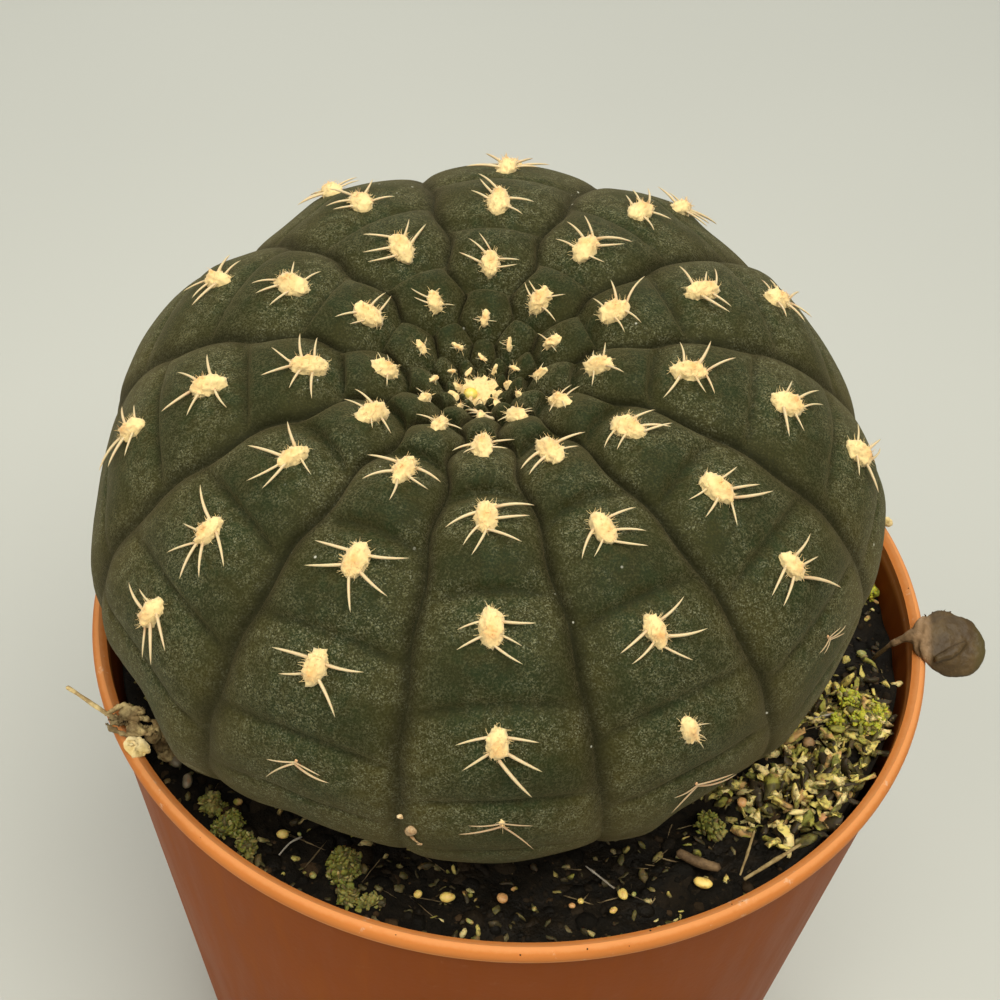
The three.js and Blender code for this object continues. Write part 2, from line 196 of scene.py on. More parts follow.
class Nodes:
    """Adds nodes to one tree and joins them up."""

    def __init__(self, tree):
        self.tree = tree

    def feed(self, socket, value):
        if isinstance(value, Value):
            self.tree.links.new(value.socket, socket)
        else:
            socket.default_value = value

    def add(self, kind, inputs=None, **settings):
        node = self.tree.nodes.new(kind)
        for name, setting in settings.items():
            setattr(node, name, setting)
        for name, value in (inputs or {}).items():
            self.feed(open_socket(node.inputs, name), value)
        return node

    def out(self, kind, inputs=None, output=None, **settings):
        node = self.add(kind, inputs, **settings)
        if output:
            return Value(self, open_socket(node.outputs, output))
        return Value(self, next(socket for socket in node.outputs if socket.enabled))

    def math(self, operation, *values):
        node = self.add("ShaderNodeMath", operation=operation)
        for socket, value in zip(node.inputs, values):
            self.feed(socket, value)
        return Value(self, node.outputs[0])

    def sine(self, value):
        return self.math("SINE", value)

    def cosine(self, value):
        return self.math("COSINE", value)

    def vector(self, operation, *values):
        node = self.add("ShaderNodeVectorMath", operation=operation)
        for socket, value in zip(node.inputs, values):
            self.feed(socket, value)
        return Value(self, next(socket for socket in node.outputs if socket.enabled))

    def scaled(self, vector, factor):
        return self.out("ShaderNodeVectorMath", {"Vector": vector, "Scale": factor}, operation="SCALE")

    def xyz(self, x, y, z):
        return self.out("ShaderNodeCombineXYZ", {"X": x, "Y": y, "Z": z})

    def parts(self, vector):
        node = self.add("ShaderNodeSeparateXYZ", {"Vector": vector})
        return [Value(self, socket) for socket in node.outputs]

    def held(self, value):
        """A value held between none and one."""
        return self.out("ShaderNodeClamp", {"Value": value, "Min": 0.0, "Max": 1.0})

    def between(self, first, second, share):
        """A plain mix of two numbers."""
        return self.out("ShaderNodeMix", {"Factor": share, "A": first, "B": second})

    def ramp(self, value, low, high, start=0.0, end=1.0):
        """The share of the way from low to high, smoothed and held at both ends."""
        inputs = {"Value": value, "From Min": low, "From Max": high, "To Min": start, "To Max": end}
        return self.out("ShaderNodeMapRange", inputs, interpolation_type="SMOOTHSTEP")

    def curve(self, pairs, value):
        """A smooth curve through pairs, read at a value."""
        node = self.add("ShaderNodeFloatCurve", {"Value": value})
        node.mapping.use_clip = False
        node.mapping.extend = "HORIZONTAL"
        points = node.mapping.curves[0].points
        points[0].location = pairs[0]
        points[1].location = pairs[-1]
        for pair in pairs[1:-1]:
            points.new(*pair)
        for point in points:
            point.handle_type = "AUTO_CLAMPED"
        node.mapping.update()
        return Value(self, node.outputs[0])

    def noise(self, place, scale, detail=2.0, roughness=0.5, output="Fac"):
        inputs = {"Vector": place, "Scale": scale, "Detail": detail, "Roughness": roughness}
        return self.out("ShaderNodeTexNoise", inputs, output)

    def cells(self, place, scale):
        """The distance from the middle of the nearest cell."""
        return self.out("ShaderNodeTexVoronoi", {"Vector": place, "Scale": scale}, "Distance")


# Kinds of sockets: of a tree's outputs by name, and of its inputs by what their defaults are
OUTPUT_SOCKETS = {"Geometry": "NodeSocketGeometry", "Place": "NodeSocketVector"}
INPUT_SOCKETS = (
    (bpy.types.Material, "NodeSocketMaterial"),
    (type(None), "NodeSocketObject"),
    (int, "NodeSocketInt"),
    (float, "NodeSocketFloat"),
    (tuple, "NodeSocketVector"),
)


class Growth(Nodes):
    """A geometry node tree with named inputs, which grows the mesh of a piece."""

    def __init__(self, name, inputs, outputs=("Geometry",)):
        super().__init__(bpy.data.node_groups.new(name, "GeometryNodeTree"))
        for label, default in inputs.items():
            self.open_input(label, default)
        for label in outputs:
            kind = OUTPUT_SOCKETS.get(label, "NodeSocketFloat")
            self.tree.interface.new_socket(label, in_out="OUTPUT", socket_type=kind)
        self.given = self.tree.nodes.new("NodeGroupInput")
        self.made = self.tree.nodes.new("NodeGroupOutput")

    def open_input(self, label, default):
        """Adds an input for a number, a place or a material. A default of None is for an object."""
        kind = next(kind for form, kind in INPUT_SOCKETS if isinstance(default, form))
        socket = self.tree.interface.new_socket(label, in_out="INPUT", socket_type=kind)
        if isinstance(default, (int, float, tuple)):
            socket.default_value = default

    def input(self, label):
        return Value(self, self.given.outputs[label])

    def finish(self, **made):
        for label, value in made.items():
            self.feed(self.made.inputs[label], value)
        return self.tree

    def group(self, tree, **inputs):
        node = self.tree.nodes.new("GeometryNodeGroup")
        node.node_tree = tree
        for label, value in inputs.items():
            self.feed(node.inputs[titled(label)], value)
        return {socket.name: Value(self, socket) for socket in node.outputs}

    def position(self):
        return self.out("GeometryNodeInputPosition")

    def attribute(self, name, kind="FLOAT"):
        return self.out("GeometryNodeInputNamedAttribute", {"Name": name}, "Attribute", data_type=kind)

    def store(self, geometry, name, value, kind="FLOAT", domain="POINT"):
        inputs = {"Geometry": geometry, "Name": name, "Value": value}
        return self.out("GeometryNodeStoreNamedAttribute", inputs, data_type=kind, domain=domain)

    def random(self, low, high, seed, number):
        """A random number for each element, from a seed and the number of the draw."""
        inputs = {"Min": low, "Max": high, "Seed": seed + number}
        return self.out("FunctionNodeRandomValue", inputs, data_type="FLOAT")

    def placed(self, geometry, **where):
        """Moves all points, to a position or by an offset."""
        inputs = {titled(label): value for label, value in where.items()}
        return self.out("GeometryNodeSetPosition", {"Geometry": geometry, **inputs})

    def compare(self, operation, first, second):
        inputs = {"A": first, "B": second}
        return self.out("FunctionNodeCompare", inputs, operation=operation, data_type="FLOAT")

    def without(self, geometry, operation, first, second):
        """Drops the points where the comparison holds."""
        selection = self.compare(operation, first, second)
        return self.out("GeometryNodeDeleteGeometry", {"Geometry": geometry, "Selection": selection})

    def above(self, *pairs):
        """True where the first of each pair is greater than its second."""
        held = self.compare("GREATER_THAN", *pairs[0])
        for pair in pairs[1:]:
            node = self.add("FunctionNodeBooleanMath", operation="AND")
            self.feed(node.inputs[0], held)
            self.feed(node.inputs[1], self.compare("GREATER_THAN", *pair))
            held = Value(self, node.outputs[0])
        return held

    def grid(self, columns, rows):
        """A flat grid, and the places of its points along and across it, from -0.5 to 0.5."""
        shape = {"Size X": 1.0, "Size Y": 1.0, "Vertices X": columns, "Vertices Y": rows}
        grid = self.out("GeometryNodeMeshGrid", shape)
        return grid, *self.parts(self.position())[:2]

    def closed(self, grid, position):
        """A grid moved into its shape, closed along its seam and facing outward."""
        inputs = {"Geometry": self.placed(grid, position=position), "Distance": SEAM_GAP}
        joined = self.out("GeometryNodeMergeByDistance", inputs)
        return self.out("GeometryNodeFlipFaces", {"Mesh": joined})

    def swollen(self, geometry, depth):
        """Moves all points along their normals."""
        normal = self.out("GeometryNodeInputNormal", output="Normal")
        return self.placed(geometry, offset=self.scaled(normal, depth))

    def joined(self, *geometries):
        node = self.tree.nodes.new("GeometryNodeJoinGeometry")
        for geometry in reversed(geometries):
            self.tree.links.new(geometry.socket, node.inputs[0])
        return Value(self, node.outputs[0])

    def turned(self, rotation, x, y, z):
        """A rotation turned further about its own axes: about X, then Y, then Z."""
        by = self.out("FunctionNodeEulerToRotation", {"Euler": self.xyz(x, y, z)})
        inputs = {"Rotation": rotation, "Rotate By": by}
        return self.out("FunctionNodeRotateRotation", inputs, rotation_space="LOCAL")

    def copies(self, points, shape, rotation, scale):
        """Copies of a shape on points, made real."""
        inputs = {"Points": points, "Instance": shape, "Rotation": rotation, "Scale": scale}
        instances = self.out("GeometryNodeInstanceOnPoints", inputs)
        return self.out("GeometryNodeRealizeInstances", {"Geometry": instances})

    def scattered(self, surface, density, seed, selection):
        """Points strewn over the chosen faces of a surface, and the way that each faces."""
        inputs = {"Mesh": surface, "Density": density, "Seed": seed, "Selection": selection}
        node = self.add("GeometryNodeDistributePointsOnFaces", inputs, distribute_method="RANDOM")
        return Value(self, node.outputs["Points"]), Value(self, node.outputs["Rotation"])

    def bent_rod(self, points, radii, steps, sides, thickness=1.0):
        """A rod from its start, bent over a middle point to its end, with radii along its length."""
        start, middle, end = points
        inputs = {"Resolution": steps, "Start": start, "Middle": middle, "End": end}
        line = self.out("GeometryNodeCurveQuadraticBezier", inputs)
        along = self.out("GeometryNodeSplineParameter", output="Factor")
        line = self.store(line, "along", along)
        ring = self.out("GeometryNodeCurvePrimitiveCircle", {"Resolution": sides, "Radius": 1.0})
        scale = self.curve(radii, along) * thickness
        inputs = {"Curve": line, "Profile Curve": ring, "Scale": scale, "Fill Caps": True}
        return self.out("GeometryNodeCurveToMesh", inputs)

    def dressed(self, geometry, label):
        """Finishes a tree: its mesh smooth, real and with the material of the input of that label."""
        smooth = {"Geometry": geometry, "Shade Smooth": True}
        geometry = self.out("GeometryNodeSetShadeSmooth", smooth, domain="FACE")
        geometry = self.out("GeometryNodeRealizeInstances", {"Geometry": geometry})
        inputs = {"Geometry": geometry, "Material": self.input(label)}
        return self.finish(Geometry=self.out("GeometryNodeSetMaterial", inputs))


def grow(name, tree, **settings):
    """A plain mesh object that a tree grows with these settings of its named inputs."""
    carrier = bpy.data.objects.new(name, bpy.data.meshes.new(name))
    bpy.context.scene.collection.objects.link(carrier)
    modifier = carrier.modifiers.new(name, "NODES")
    modifier.node_group = tree
    wanted = {titled(label): value for label, value in settings.items()}
    for item in tree.interface.items_tree:
        if item.item_type == "SOCKET" and item.in_out == "INPUT" and item.name in wanted:
            modifier[item.identifier] = wanted.pop(item.name)
    if wanted:
        raise ValueError(f"{name} has no input named {sorted(wanted)}")
    graph = bpy.context.evaluated_depsgraph_get()
    grown = bpy.data.meshes.new_from_object(
        carrier.evaluated_get(graph), preserve_all_data_layers=True, depsgraph=graph
    )
    if not grown.polygons:
        raise ValueError(f"{name} grew no faces")
    carrier.modifiers.clear()
    carrier.data = grown
    grown.name = name
    return carrier


def keep(piece, slot, *nodes):
    """Rides a finished piece on the part and hides the solids that it stands for. Its slot is not used."""
    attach(piece, BODY)
    if nodes:
        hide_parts(*nodes)
    return piece


# Materials


class Finish(Nodes):
    """A procedural material with one Principled shader."""

    def __init__(self, name, **constants):
        material = bpy.data.materials.new(name)
        material.use_nodes = True
        super().__init__(material.node_tree)
        self.material = material
        self.shader = material.node_tree.nodes["Principled BSDF"]
        for label, value in constants.items():
            self.shader.inputs[label.replace("_", " ")].default_value = value
        self.place = self.out("ShaderNodeTexCoord", output="Object")

    def attribute(self, name):
        return self.out("ShaderNodeAttribute", output="Fac", attribute_name=name)

    def colour(self, *stops):
        """A colour made of a first colour and of further colours laid over it, each by its share."""
        mixed = (*stops[0], 1)
        for share, colour in stops[1:]:
            node = self.add("ShaderNodeMix", {"Factor": share}, data_type="RGBA")
            over = colour if isinstance(colour, Value) else (*colour, 1)
            self.feed(open_socket(node.inputs, "A"), mixed)
            self.feed(open_socket(node.inputs, "B"), over)
            mixed = Value(self, open_socket(node.outputs, "Result"))
        return mixed

    def bump(self, height, distance, strength):
        inputs = {"Height": height, "Distance": distance, "Strength": strength}
        return self.out("ShaderNodeBump", inputs)

    def clouds(self, scale, detail=2.0, roughness=0.5):
        """Noise at the place on the piece."""
        return self.noise(self.place, scale, detail, roughness)

    def upright_streaks(self, squeeze, scale, detail, roughness):
        """Noise drawn out along the height."""
        inputs = {"Vector": self.place, "Scale": (1.0, 1.0, squeeze)}
        place = self.out("ShaderNodeMapping", inputs, vector_type="POINT")
        return self.noise(place, scale, detail, roughness)

    def end(self, colour, roughness, normal=None):
        self.feed(self.shader.inputs["Base Color"], colour)
        self.feed(self.shader.inputs["Roughness"], roughness)
        if normal is not None:
            self.feed(self.shader.inputs["Normal"], normal)
        return self.material


# Step down the rib of the pale line on the flanks: painted rim light at the body's edge, on corky skin
RIM_LIGHT_LINE_STEP = 6.62


def skin_finish(colours):
    """Velvety dark green skin: pale grains with painted glints all over, olive towards the furrows, corky at
    the base, painted shade in the furrows and creases, painted light below the creases, and a painted rim
    light line on the flanks.
    """
    finish = Finish("cactus skin", Specular_IOR_Level=0.1, Sheen_Weight=0.11, Sheen_Roughness=0.45)
    ramp = finish.ramp
    finish.shader.inputs["Sheen Tint"].default_value = (1, 0.82, 0.42, 1)
    place = finish.place
    across = finish.attribute("across")
    step = finish.attribute("step")
    from_crease = finish.attribute("crease")
    below = finish.attribute("below")
    sideways = abs(finish.parts(place)[0])
    patches = finish.clouds(150, 3, 0.65)
    mottle = finish.clouds(620, 3, 0.65)
    fine = finish.clouds(5200, 3, 0.75)
    clusters = ramp(finish.clouds(1250, 3, 0.7), 0.36, 0.6)
    grains = ramp(fine, 0.46, 0.62) * (clusters * 0.6 + 0.4)
    # pale grains, with painted glints on them
    pale_grains_and_painted_glints = ramp(finish.clouds(7400, 1, 0.5), 0.55, 0.69) * clusters
    pits = ramp(fine, 0.44, 0.3)
    lower = ramp(step, 2.6, 6.0)
    olive = ramp(across * 0.45 + patches * 0.8 + lower * 0.4, 0.75, 1.3)
    green = ramp(mottle, 0.35, 0.65) * ramp(across, 0.9, 0.2)
    # groove: painted shade in the furrows between the ribs
    groove = ramp(across + mottle * 0.12, 0.84, 1.08) * ramp(step, 7.2, 5.0)
    crease_ends = ramp(across, 1.0, 0.7) * ramp(step, 6.6, 5.0)
    # crease: painted shade in the creases between the chins
    crease = ramp(from_crease, 0.07, 0.0) * crease_ends
    # above: painted shade on each chin's lower slope above the crease, which turns away from the light
    above = ramp(below, -0.1, -0.9) * crease_ends
    # Painted light: below each crease the skin turns up to the light, and the grains are brightened there as
    # well as in patches of dust
    under = ramp(below, 0.1, 0.95) * ramp(across, 1.0, 0.5)
    dust_and_painted_light = ramp(patches + under * 0.18 + ramp(step, 1.0, 5.0) * 0.07, 0.44, 0.7)
    specks = ramp(finish.cells(place, 330), 0.05, 0.03) * ramp(finish.clouds(75), 0.5, 0.55)
    flank = ramp(sideways, 14 * MM, 30 * MM)
    cork = ramp(step + patches * 2.4 + mottle * 0.8, 8.2, 9.6)
    # pale line on the flanks: painted rim light along the body's edge, on a thin line of corky skin
    seam = ramp(abs(step + mottle * 0.3 - RIM_LIGHT_LINE_STEP), 0.07, 0.02) * flank * ramp(patches, 0.46, 0.54)
    colour = finish.colour(
        colours.skin[:],
        (green * 0.8, colours.skin_green[:]),
        (olive * 0.85, colours.skin_olive[:]),
        # painted shade above the creases
        (above * 0.4, (0.011, 0.017, 0.005)),
        (pits * 0.6, (0.008, 0.01, 0.003)),
        # grains brightened by dust in patches and by painted light below the creases
        (grains * 0.3 + dust_and_painted_light * grains * 0.42, colours.skin_grain[:]),
        # pale grains and painted glints
        (pale_grains_and_painted_glints * dust_and_painted_light * 0.5, (0.3, 0.31, 0.2)),
        # painted shade in the creases
        (crease * 0.5, (0.01, 0.012, 0.004)),
        # painted shade in the furrows
        (groove * 0.75, (0.006, 0.007, 0.002)),
        (specks * 0.8, (0.55, 0.55, 0.46)),
        (cork * ramp(mottle, 0.3, 0.55, 0.35, 0.75), (0.11, 0.085, 0.045)),
        # painted rim light along the flanks' edge, on corky skin
        (seam * 0.3, (0.28, 0.25, 0.15)),
    )
    height = grains * 0.6 + mottle * 0.8
    normal = finish.bump(height, 0.08 * MM, 0.9)
    return finish.end(colour, ramp(fine, 0.3, 0.7, 0.6, 0.82), normal)


def wool_finish(colours):
    """Felted cream wool, orange low in its middle."""
    finish = Finish("areole wool", Specular_IOR_Level=0.2, Sheen_Weight=0.25, Sheen_Roughness=0.5)
    ramp = finish.ramp
    warm = finish.attribute("warmth")
    age = finish.attribute("step")
    faded = finish.attribute("faded")
    fluff = finish.clouds(1500, 4, 0.7)
    colour = finish.colour(
        colours.wool[:],
        (warm * ramp(fluff, 0.2, 0.7), colours.wool_warm[:]),
        (ramp(fluff, 0.62, 0.85) * 0.5, (0.93, 0.86, 0.66)),
        (ramp(fluff, 0.42, 0.2) * 0.45, (0.5, 0.33, 0.14)),
        (ramp(age, 5.0, 6.1) * 0.5, (0.42, 0.31, 0.19)),
        (faded * 0.75, (0.5, 0.24, 0.12)),
    )
    normal = finish.bump(fluff, 0.2 * MM, 0.8)
    return finish.end(colour, 0.85, normal)


def spine_finish(colours):
    """Ivory spines, pinkish brown at their foot, horn-coloured at the tip."""
    finish = Finish("spine", Specular_IOR_Level=0.45, Subsurface_Weight=0.12, Subsurface_Scale=0.6 * MM)
    ramp = finish.ramp
    along = finish.attribute("along")
    age = finish.attribute("step")
    tint = finish.attribute("tint")
    streaks = finish.clouds(900, 3, 0.6)
    colour = finish.colour(
        colours.spine[:],
        (ramp(along, 0.5, 0.05) * ramp(tint, 0.2, 0.9) * 0.8, colours.spine_foot[:]),
        (ramp(along, 0.85, 1.0) * 0.35, (0.45, 0.32, 0.16)),
        (ramp(streaks, 0.5, 0.75) * 0.25, (0.62, 0.47, 0.25)),
        (ramp(age, 4.6, 5.4) * 0.75, (0.34, 0.22, 0.12)),
    )
    return finish.end(colour, 0.45, finish.bump(streaks, 0.04 * MM, 0.5))


def pot_finish(colours):
    """Half-matte orange-brown plastic with fine mould grain, painted light on the bead with two painted
    highlight lines, and a little dust.
    """
    finish = Finish("pot plastic", Specular_IOR_Level=0.03, Subsurface_Weight=0.05, Subsurface_Scale=2 * MM)
    ramp = finish.ramp
    place = finish.place
    height = finish.parts(place)[2]
    cloud = finish.clouds(60, 3, 0.55)
    fine = finish.clouds(1400, 3, 0.6)
    streaks = finish.upright_streaks(0.12, 260, 3, 0.6)
    # rim: the bead, where painted light from above makes the plastic paler
    rim = ramp(height, 69.5 * MM, 70.5 * MM)
    dust = ramp(finish.clouds(520, 4, 0.7), 0.62, 0.74)
    colour = finish.colour(
        colours.pot[:],
        (ramp(cloud, 0.35, 0.7) * 0.35, colours.pot_dark[:]),
        (ramp(streaks, 0.5, 0.75) * 0.16, (0.42, 0.15, 0.04)),
        # painted light: the bead paler where it faces the light from above
        (rim * ramp(cloud, 0.2, 0.6, 0.7, 1.0), colours.pot_rim_painted_light[:]),
        # painted highlight line low on the bead
        (rim * ramp(abs(height - 70.55 * MM), 0.3 * MM, 0.1 * MM) * 0.3, (0.68, 0.32, 0.13)),
        # painted highlight line along the top of the bead
        (rim * ramp(height + fine * (0.3 * MM), 71.78 * MM, 72.1 * MM) * 0.4, (0.7, 0.34, 0.14)),
        (dust * (rim * 0.55 + 0.06), (0.64, 0.5, 0.36)),
    )
    roughness = ramp(streaks + dust * 0.4, 0.3, 0.9, 0.42, 0.62)
    return finish.end(colour, roughness, finish.bump(fine + streaks, 0.05 * MM, 0.5))


def peat_finish():
    """Damp peat: black-brown, each crumb in a tone of its own."""
    finish = Finish("peat", Specular_IOR_Level=0.12)
    ramp = finish.ramp
    tone = finish.attribute("tone")
    fibre = finish.clouds(2300, 4, 0.65)
    cloud = finish.clouds(160, 2, 0.5)
    colour = finish.colour(
        (0.005, 0.004, 0.0025),
        (ramp(tone + fibre * 0.4, 0.55, 1.2), (0.018, 0.012, 0.006)),
        (ramp(tone + cloud * 0.3, 1.02, 1.2) * 0.8, (0.06, 0.035, 0.016)),
        (ramp(fibre, 0.6, 0.8) * 0.25, (0.12, 0.09, 0.05)),
    )
    roughness = ramp(cloud, 0.3, 0.7, 0.55, 0.95)
    return finish.end(colour, roughness, finish.bump(fibre, 0.25 * MM, 0.9))


def grit_finish():
    """Cream, ochre and pinkish-brown grains of grit."""
    finish = Finish("grit", Specular_IOR_Level=0.4, Subsurface_Weight=0.1, Subsurface_Scale=0.8 * MM)
    ramp = finish.ramp
    tone = finish.attribute("tone")
    grain = finish.clouds(1900, 4, 0.6)
    colour = finish.colour(
        (0.42, 0.31, 0.13),
        (ramp(tone, 0.25, 0.3), (0.55, 0.45, 0.24)),
        (ramp(tone, 0.55, 0.6), (0.34, 0.2, 0.09)),
        (ramp(tone, 0.78, 0.8), (0.62, 0.55, 0.4)),
        (ramp(tone, 0.94, 0.95), (0.5, 0.24, 0.1)),
        (ramp(grain, 0.5, 0.3) * 0.6, (0.14, 0.1, 0.04)),
    )
    return finish.end(colour, 0.6, finish.bump(grain, 0.2 * MM, 0.7))


def moss_finish():
    """Soft lime-yellow moss, with painted shade low between its leaves."""
    finish = Finish("moss", Specular_IOR_Level=0.25, Subsurface_Weight=0.25, Subsurface_Scale=0.6 * MM)
    ramp = finish.ramp
    tone = finish.attribute("tone")
    along = finish.attribute("along")
    right = ramp(finish.parts(finish.place)[0], 22 * MM, 32 * MM)
    cloud = finish.clouds(300, 2, 0.5)
    speckle = finish.clouds(2500, 2, 0.5)
    colour = finish.colour(
        (0.085, 0.085, 0.014),
        # painted shade: the leaves darker towards their feet, low between them
        (ramp(along, 0.1, 0.8), (0.2, 0.2, 0.035)),
        (ramp(cloud, 0.45, 0.62) * 0.7, (0.27, 0.22, 0.07)),
        (right * ramp(along, 0.0, 0.6, 0.4, 0.9), (0.44, 0.43, 0.035)),
        (ramp(tone, 0.66, 0.72) * 0.8, (0.42, 0.35, 0.13)),
        (ramp(tone, 0.8, 0.84) * 0.85, (0.07, 0.055, 0.02)),
        (ramp(speckle, 0.5, 0.32) * 0.5, (0.05, 0.055, 0.01)),
    )
    return finish.end(colour, 0.65, finish.bump(speckle, 0.1 * MM, 0.4))


def litter_finish(name, dulled):
    """Crumbled dead moss and leaf: cream, straw, olive, tan and brown bits, mottled and dulled."""
    finish = Finish(name, Specular_IOR_Level=0.3, Subsurface_Weight=0.12, Subsurface_Scale=0.6 * MM)
    ramp = finish.ramp
    tone = finish.attribute("tone")
    along = finish.attribute("along")
    cloud = finish.clouds(230, 2, 0.5)
    speckle = finish.clouds(1900, 3, 0.6)
    kind = tone * 0.75 + ramp(cloud, 0.3, 0.7) * 0.25
    colour = finish.colour(
        (0.03, 0.02, 0.008),
        (ramp(kind, 0.3, 0.34), (0.1, 0.085, 0.02)),
        (ramp(kind, 0.42, 0.46), (0.3, 0.28, 0.05)),
        (ramp(kind, 0.5, 0.54), (0.44, 0.26, 0.09)),
        (ramp(kind, 0.57, 0.61), (0.64, 0.52, 0.14)),
        (ramp(kind, 0.72, 0.76), (0.76, 0.61, 0.26)),
        (ramp(kind, 0.86, 0.89), (0.2, 0.2, 0.04)),
        (ramp(speckle, 0.52, 0.34) * 0.75, (0.04, 0.032, 0.01)),
        (ramp(speckle, 0.6, 0.78) * 0.4, (0.66, 0.55, 0.22)),
        (ramp(along, 0.45, 0.0) * 0.7, (0.04, 0.032, 0.012)),
        (ramp(finish.clouds(140, 2, 0.6), 0.38, 0.6) * dulled, (0.05, 0.04, 0.015)),
    )
    return finish.end(colour, 0.6, finish.bump(speckle, 0.2 * MM, 0.6))


def nugget_finish():
    """Waxy yellow, tan and greyish pellets."""
    finish = Finish("pellet", Specular_IOR_Level=0.45, Subsurface_Weight=0.15, Subsurface_Scale=1 * MM)
    ramp = finish.ramp
    tone = finish.attribute("tone")
    cloud = finish.clouds(900, 3, 0.6)
    colour = finish.colour(
        (0.2, 0.17, 0.11),
        (ramp(tone, 0.2, 0.3), (0.3, 0.3, 0.09)),
        (ramp(tone, 0.45, 0.55), (0.62, 0.34, 0.13)),
        (ramp(tone, 0.7, 0.8), (0.78, 0.56, 0.15)),
        (ramp(cloud, 0.5, 0.34) * 0.6, (0.3, 0.13, 0.035)),
        (ramp(cloud, 0.6, 0.75) * 0.5, (0.82, 0.68, 0.36)),
    )
    return finish.end(colour, 0.45, finish.bump(cloud, 0.1 * MM, 0.5))


# Finishes of dry stuff: two colours of its ridges, its dark clouds, and the scale of the ridges
DRY_STUFF = {
    "scar": ((0.5, 0.3, 0.13), (0.8, 0.62, 0.36), (0.16, 0.075, 0.03), 1400),
    "fibre": ((0.11, 0.075, 0.035), (0.26, 0.19, 0.09), (0.05, 0.035, 0.02), 900),
    "root": ((0.3, 0.27, 0.22), (0.42, 0.38, 0.31), (0.17, 0.14, 0.1), 900),
    "withered": ((0.29, 0.195, 0.08), (0.62, 0.48, 0.22), (0.06, 0.04, 0.015), 900),
    "flake": ((0.66, 0.5, 0.2), (0.8, 0.66, 0.36), (0.42, 0.28, 0.1), 500),
    "straw": ((0.2, 0.135, 0.05), (0.38, 0.29, 0.13), (0.1, 0.06, 0.024), 700),
    "bark": ((0.09, 0.053, 0.023), (0.19, 0.12, 0.055), (0.04, 0.024, 0.011), 900),
}


def dry_finish(name):
    """Dry plant stuff with fine ridges."""
    first, second, dark, scale = DRY_STUFF[name]
    finish = Finish(name, Specular_IOR_Level=0.35)
    ramp = finish.ramp
    ridges = finish.clouds(scale, 4, 0.65)
    cloud = finish.clouds(scale * 0.3, 2, 0.5)
    colour = finish.colour(
        first,
        (ramp(ridges, 0.4, 0.65), second),
        (ramp(cloud, 0.5, 0.7) * 0.7, dark),
        (ramp(finish.clouds(scale * 3), 0.62, 0.72) * 0.3, second),
    )
    return finish.end(colour, 0.75, finish.bump(ridges, 0.3 * MM, 0.8))


def bud_finish():
    """Waxy yellow skin of a young bud, greener in patches."""
    finish = Finish("bud", Specular_IOR_Level=0.5, Subsurface_Weight=0.15, Subsurface_Scale=0.6 * MM)
    ramp = finish.ramp
    cloud = finish.clouds(1100, 2, 0.5)
    colour = finish.colour((0.86, 0.58, 0.1), (ramp(cloud, 0.45, 0.7), (0.7, 0.62, 0.16)))
    return finish.end(colour, 0.35, finish.bump(cloud, 0.1 * MM, 0.3))


def husk_finish():
    """Dry fruit skin: grey-brown, olive along its edge, pale and pinkish at its neck."""
    finish = Finish("husk", Specular_IOR_Level=0.3)
    ramp = finish.ramp
    east, _, height = finish.parts(finish.place)
    veins = finish.clouds(420, 4, 0.65)
    cloud = finish.clouds(150, 2, 0.5)
    neck = ramp(east + cloud * 0.8 * MM, 42.9 * MM, 42 * MM) * ramp(height, 70 * MM, 71.5 * MM)
    edge = ramp(east + cloud * MM, 46.6 * MM, 48 * MM)
    colour = finish.colour(
        (0.056, 0.033, 0.0115),
        (ramp(veins, 0.4, 0.7) * 0.7, (0.12, 0.076, 0.028)),
        (ramp(cloud, 0.5, 0.7) * 0.6, (0.05, 0.036, 0.014)),
        (edge * 0.8, (0.075, 0.06, 0.018)),
        (neck * ramp(veins, 0.2, 0.6), (0.3, 0.19, 0.1)),
    )
    return finish.end(colour, 0.55, finish.bump(veins, 0.4 * MM, 0.9))


# Cactus


# Sizes that trees have as inputs of their own, and pass on to the groups inside them
SKIN_INPUTS = (
    "furrow_depth", "crease_depth", "weave", "waves", "rib_turn", "rib_crowding", "crowded_side",
)
PAD_INPUTS = ("pad_length", "pad_width", "pad_height", "tuft_size", "tuft_height")


def opened(sizes, names=SKIN_INPUTS):
    """Inputs of a tree, with the sizes of these names as their defaults."""
    values = {titled(name): getattr(sizes, name) for name in names}
    return {label: value if isinstance(value, float) else tuple(value) for label, value in values.items()}


def passed_on(nodes, names=SKIN_INPUTS):
    """The same sizes as values inside a tree that has them as inputs."""
    return {name: nodes.input(titled(name)) for name in names}


def once(make, name, sizes):
    """The node group of that name, made if it isn't there yet."""
    return bpy.data.node_groups.get(name) or make(sizes)


def skin_at(nodes, sizes, turn, step):
    """What the skin group gives for a turn and a step."""
    tree = once(skin_tree, "Skin Place", sizes)
    return nodes.group(tree, turn=turn, step=step, **passed_on(nodes))


def rib_shift(nodes, rib):
    """How far a rib's areoles are shifted down it: five twelfths of a step more on each rib."""
    turns = ((rib + (RIBS - SPIRAL_START_RIB)) % RIBS) * SPIRAL_SHIFT
    drift = nodes.cosine(rib * RIB_ANGLE + SPIRAL_DRIFT_SIDE) * SPIRAL_DRIFT
    return turns - nodes.math("ROUND", turns) + drift


def furrow_relief(nodes, width, step):
    """Depth share of the furrows: a narrow groove and a broad hollow around it."""
    groove = nodes.math("EXPONENT", (width - 1) / nodes.curve(FURROW_WIDTHS, step))
    return nodes.between(groove, width * width, FURROW_BREADTH)


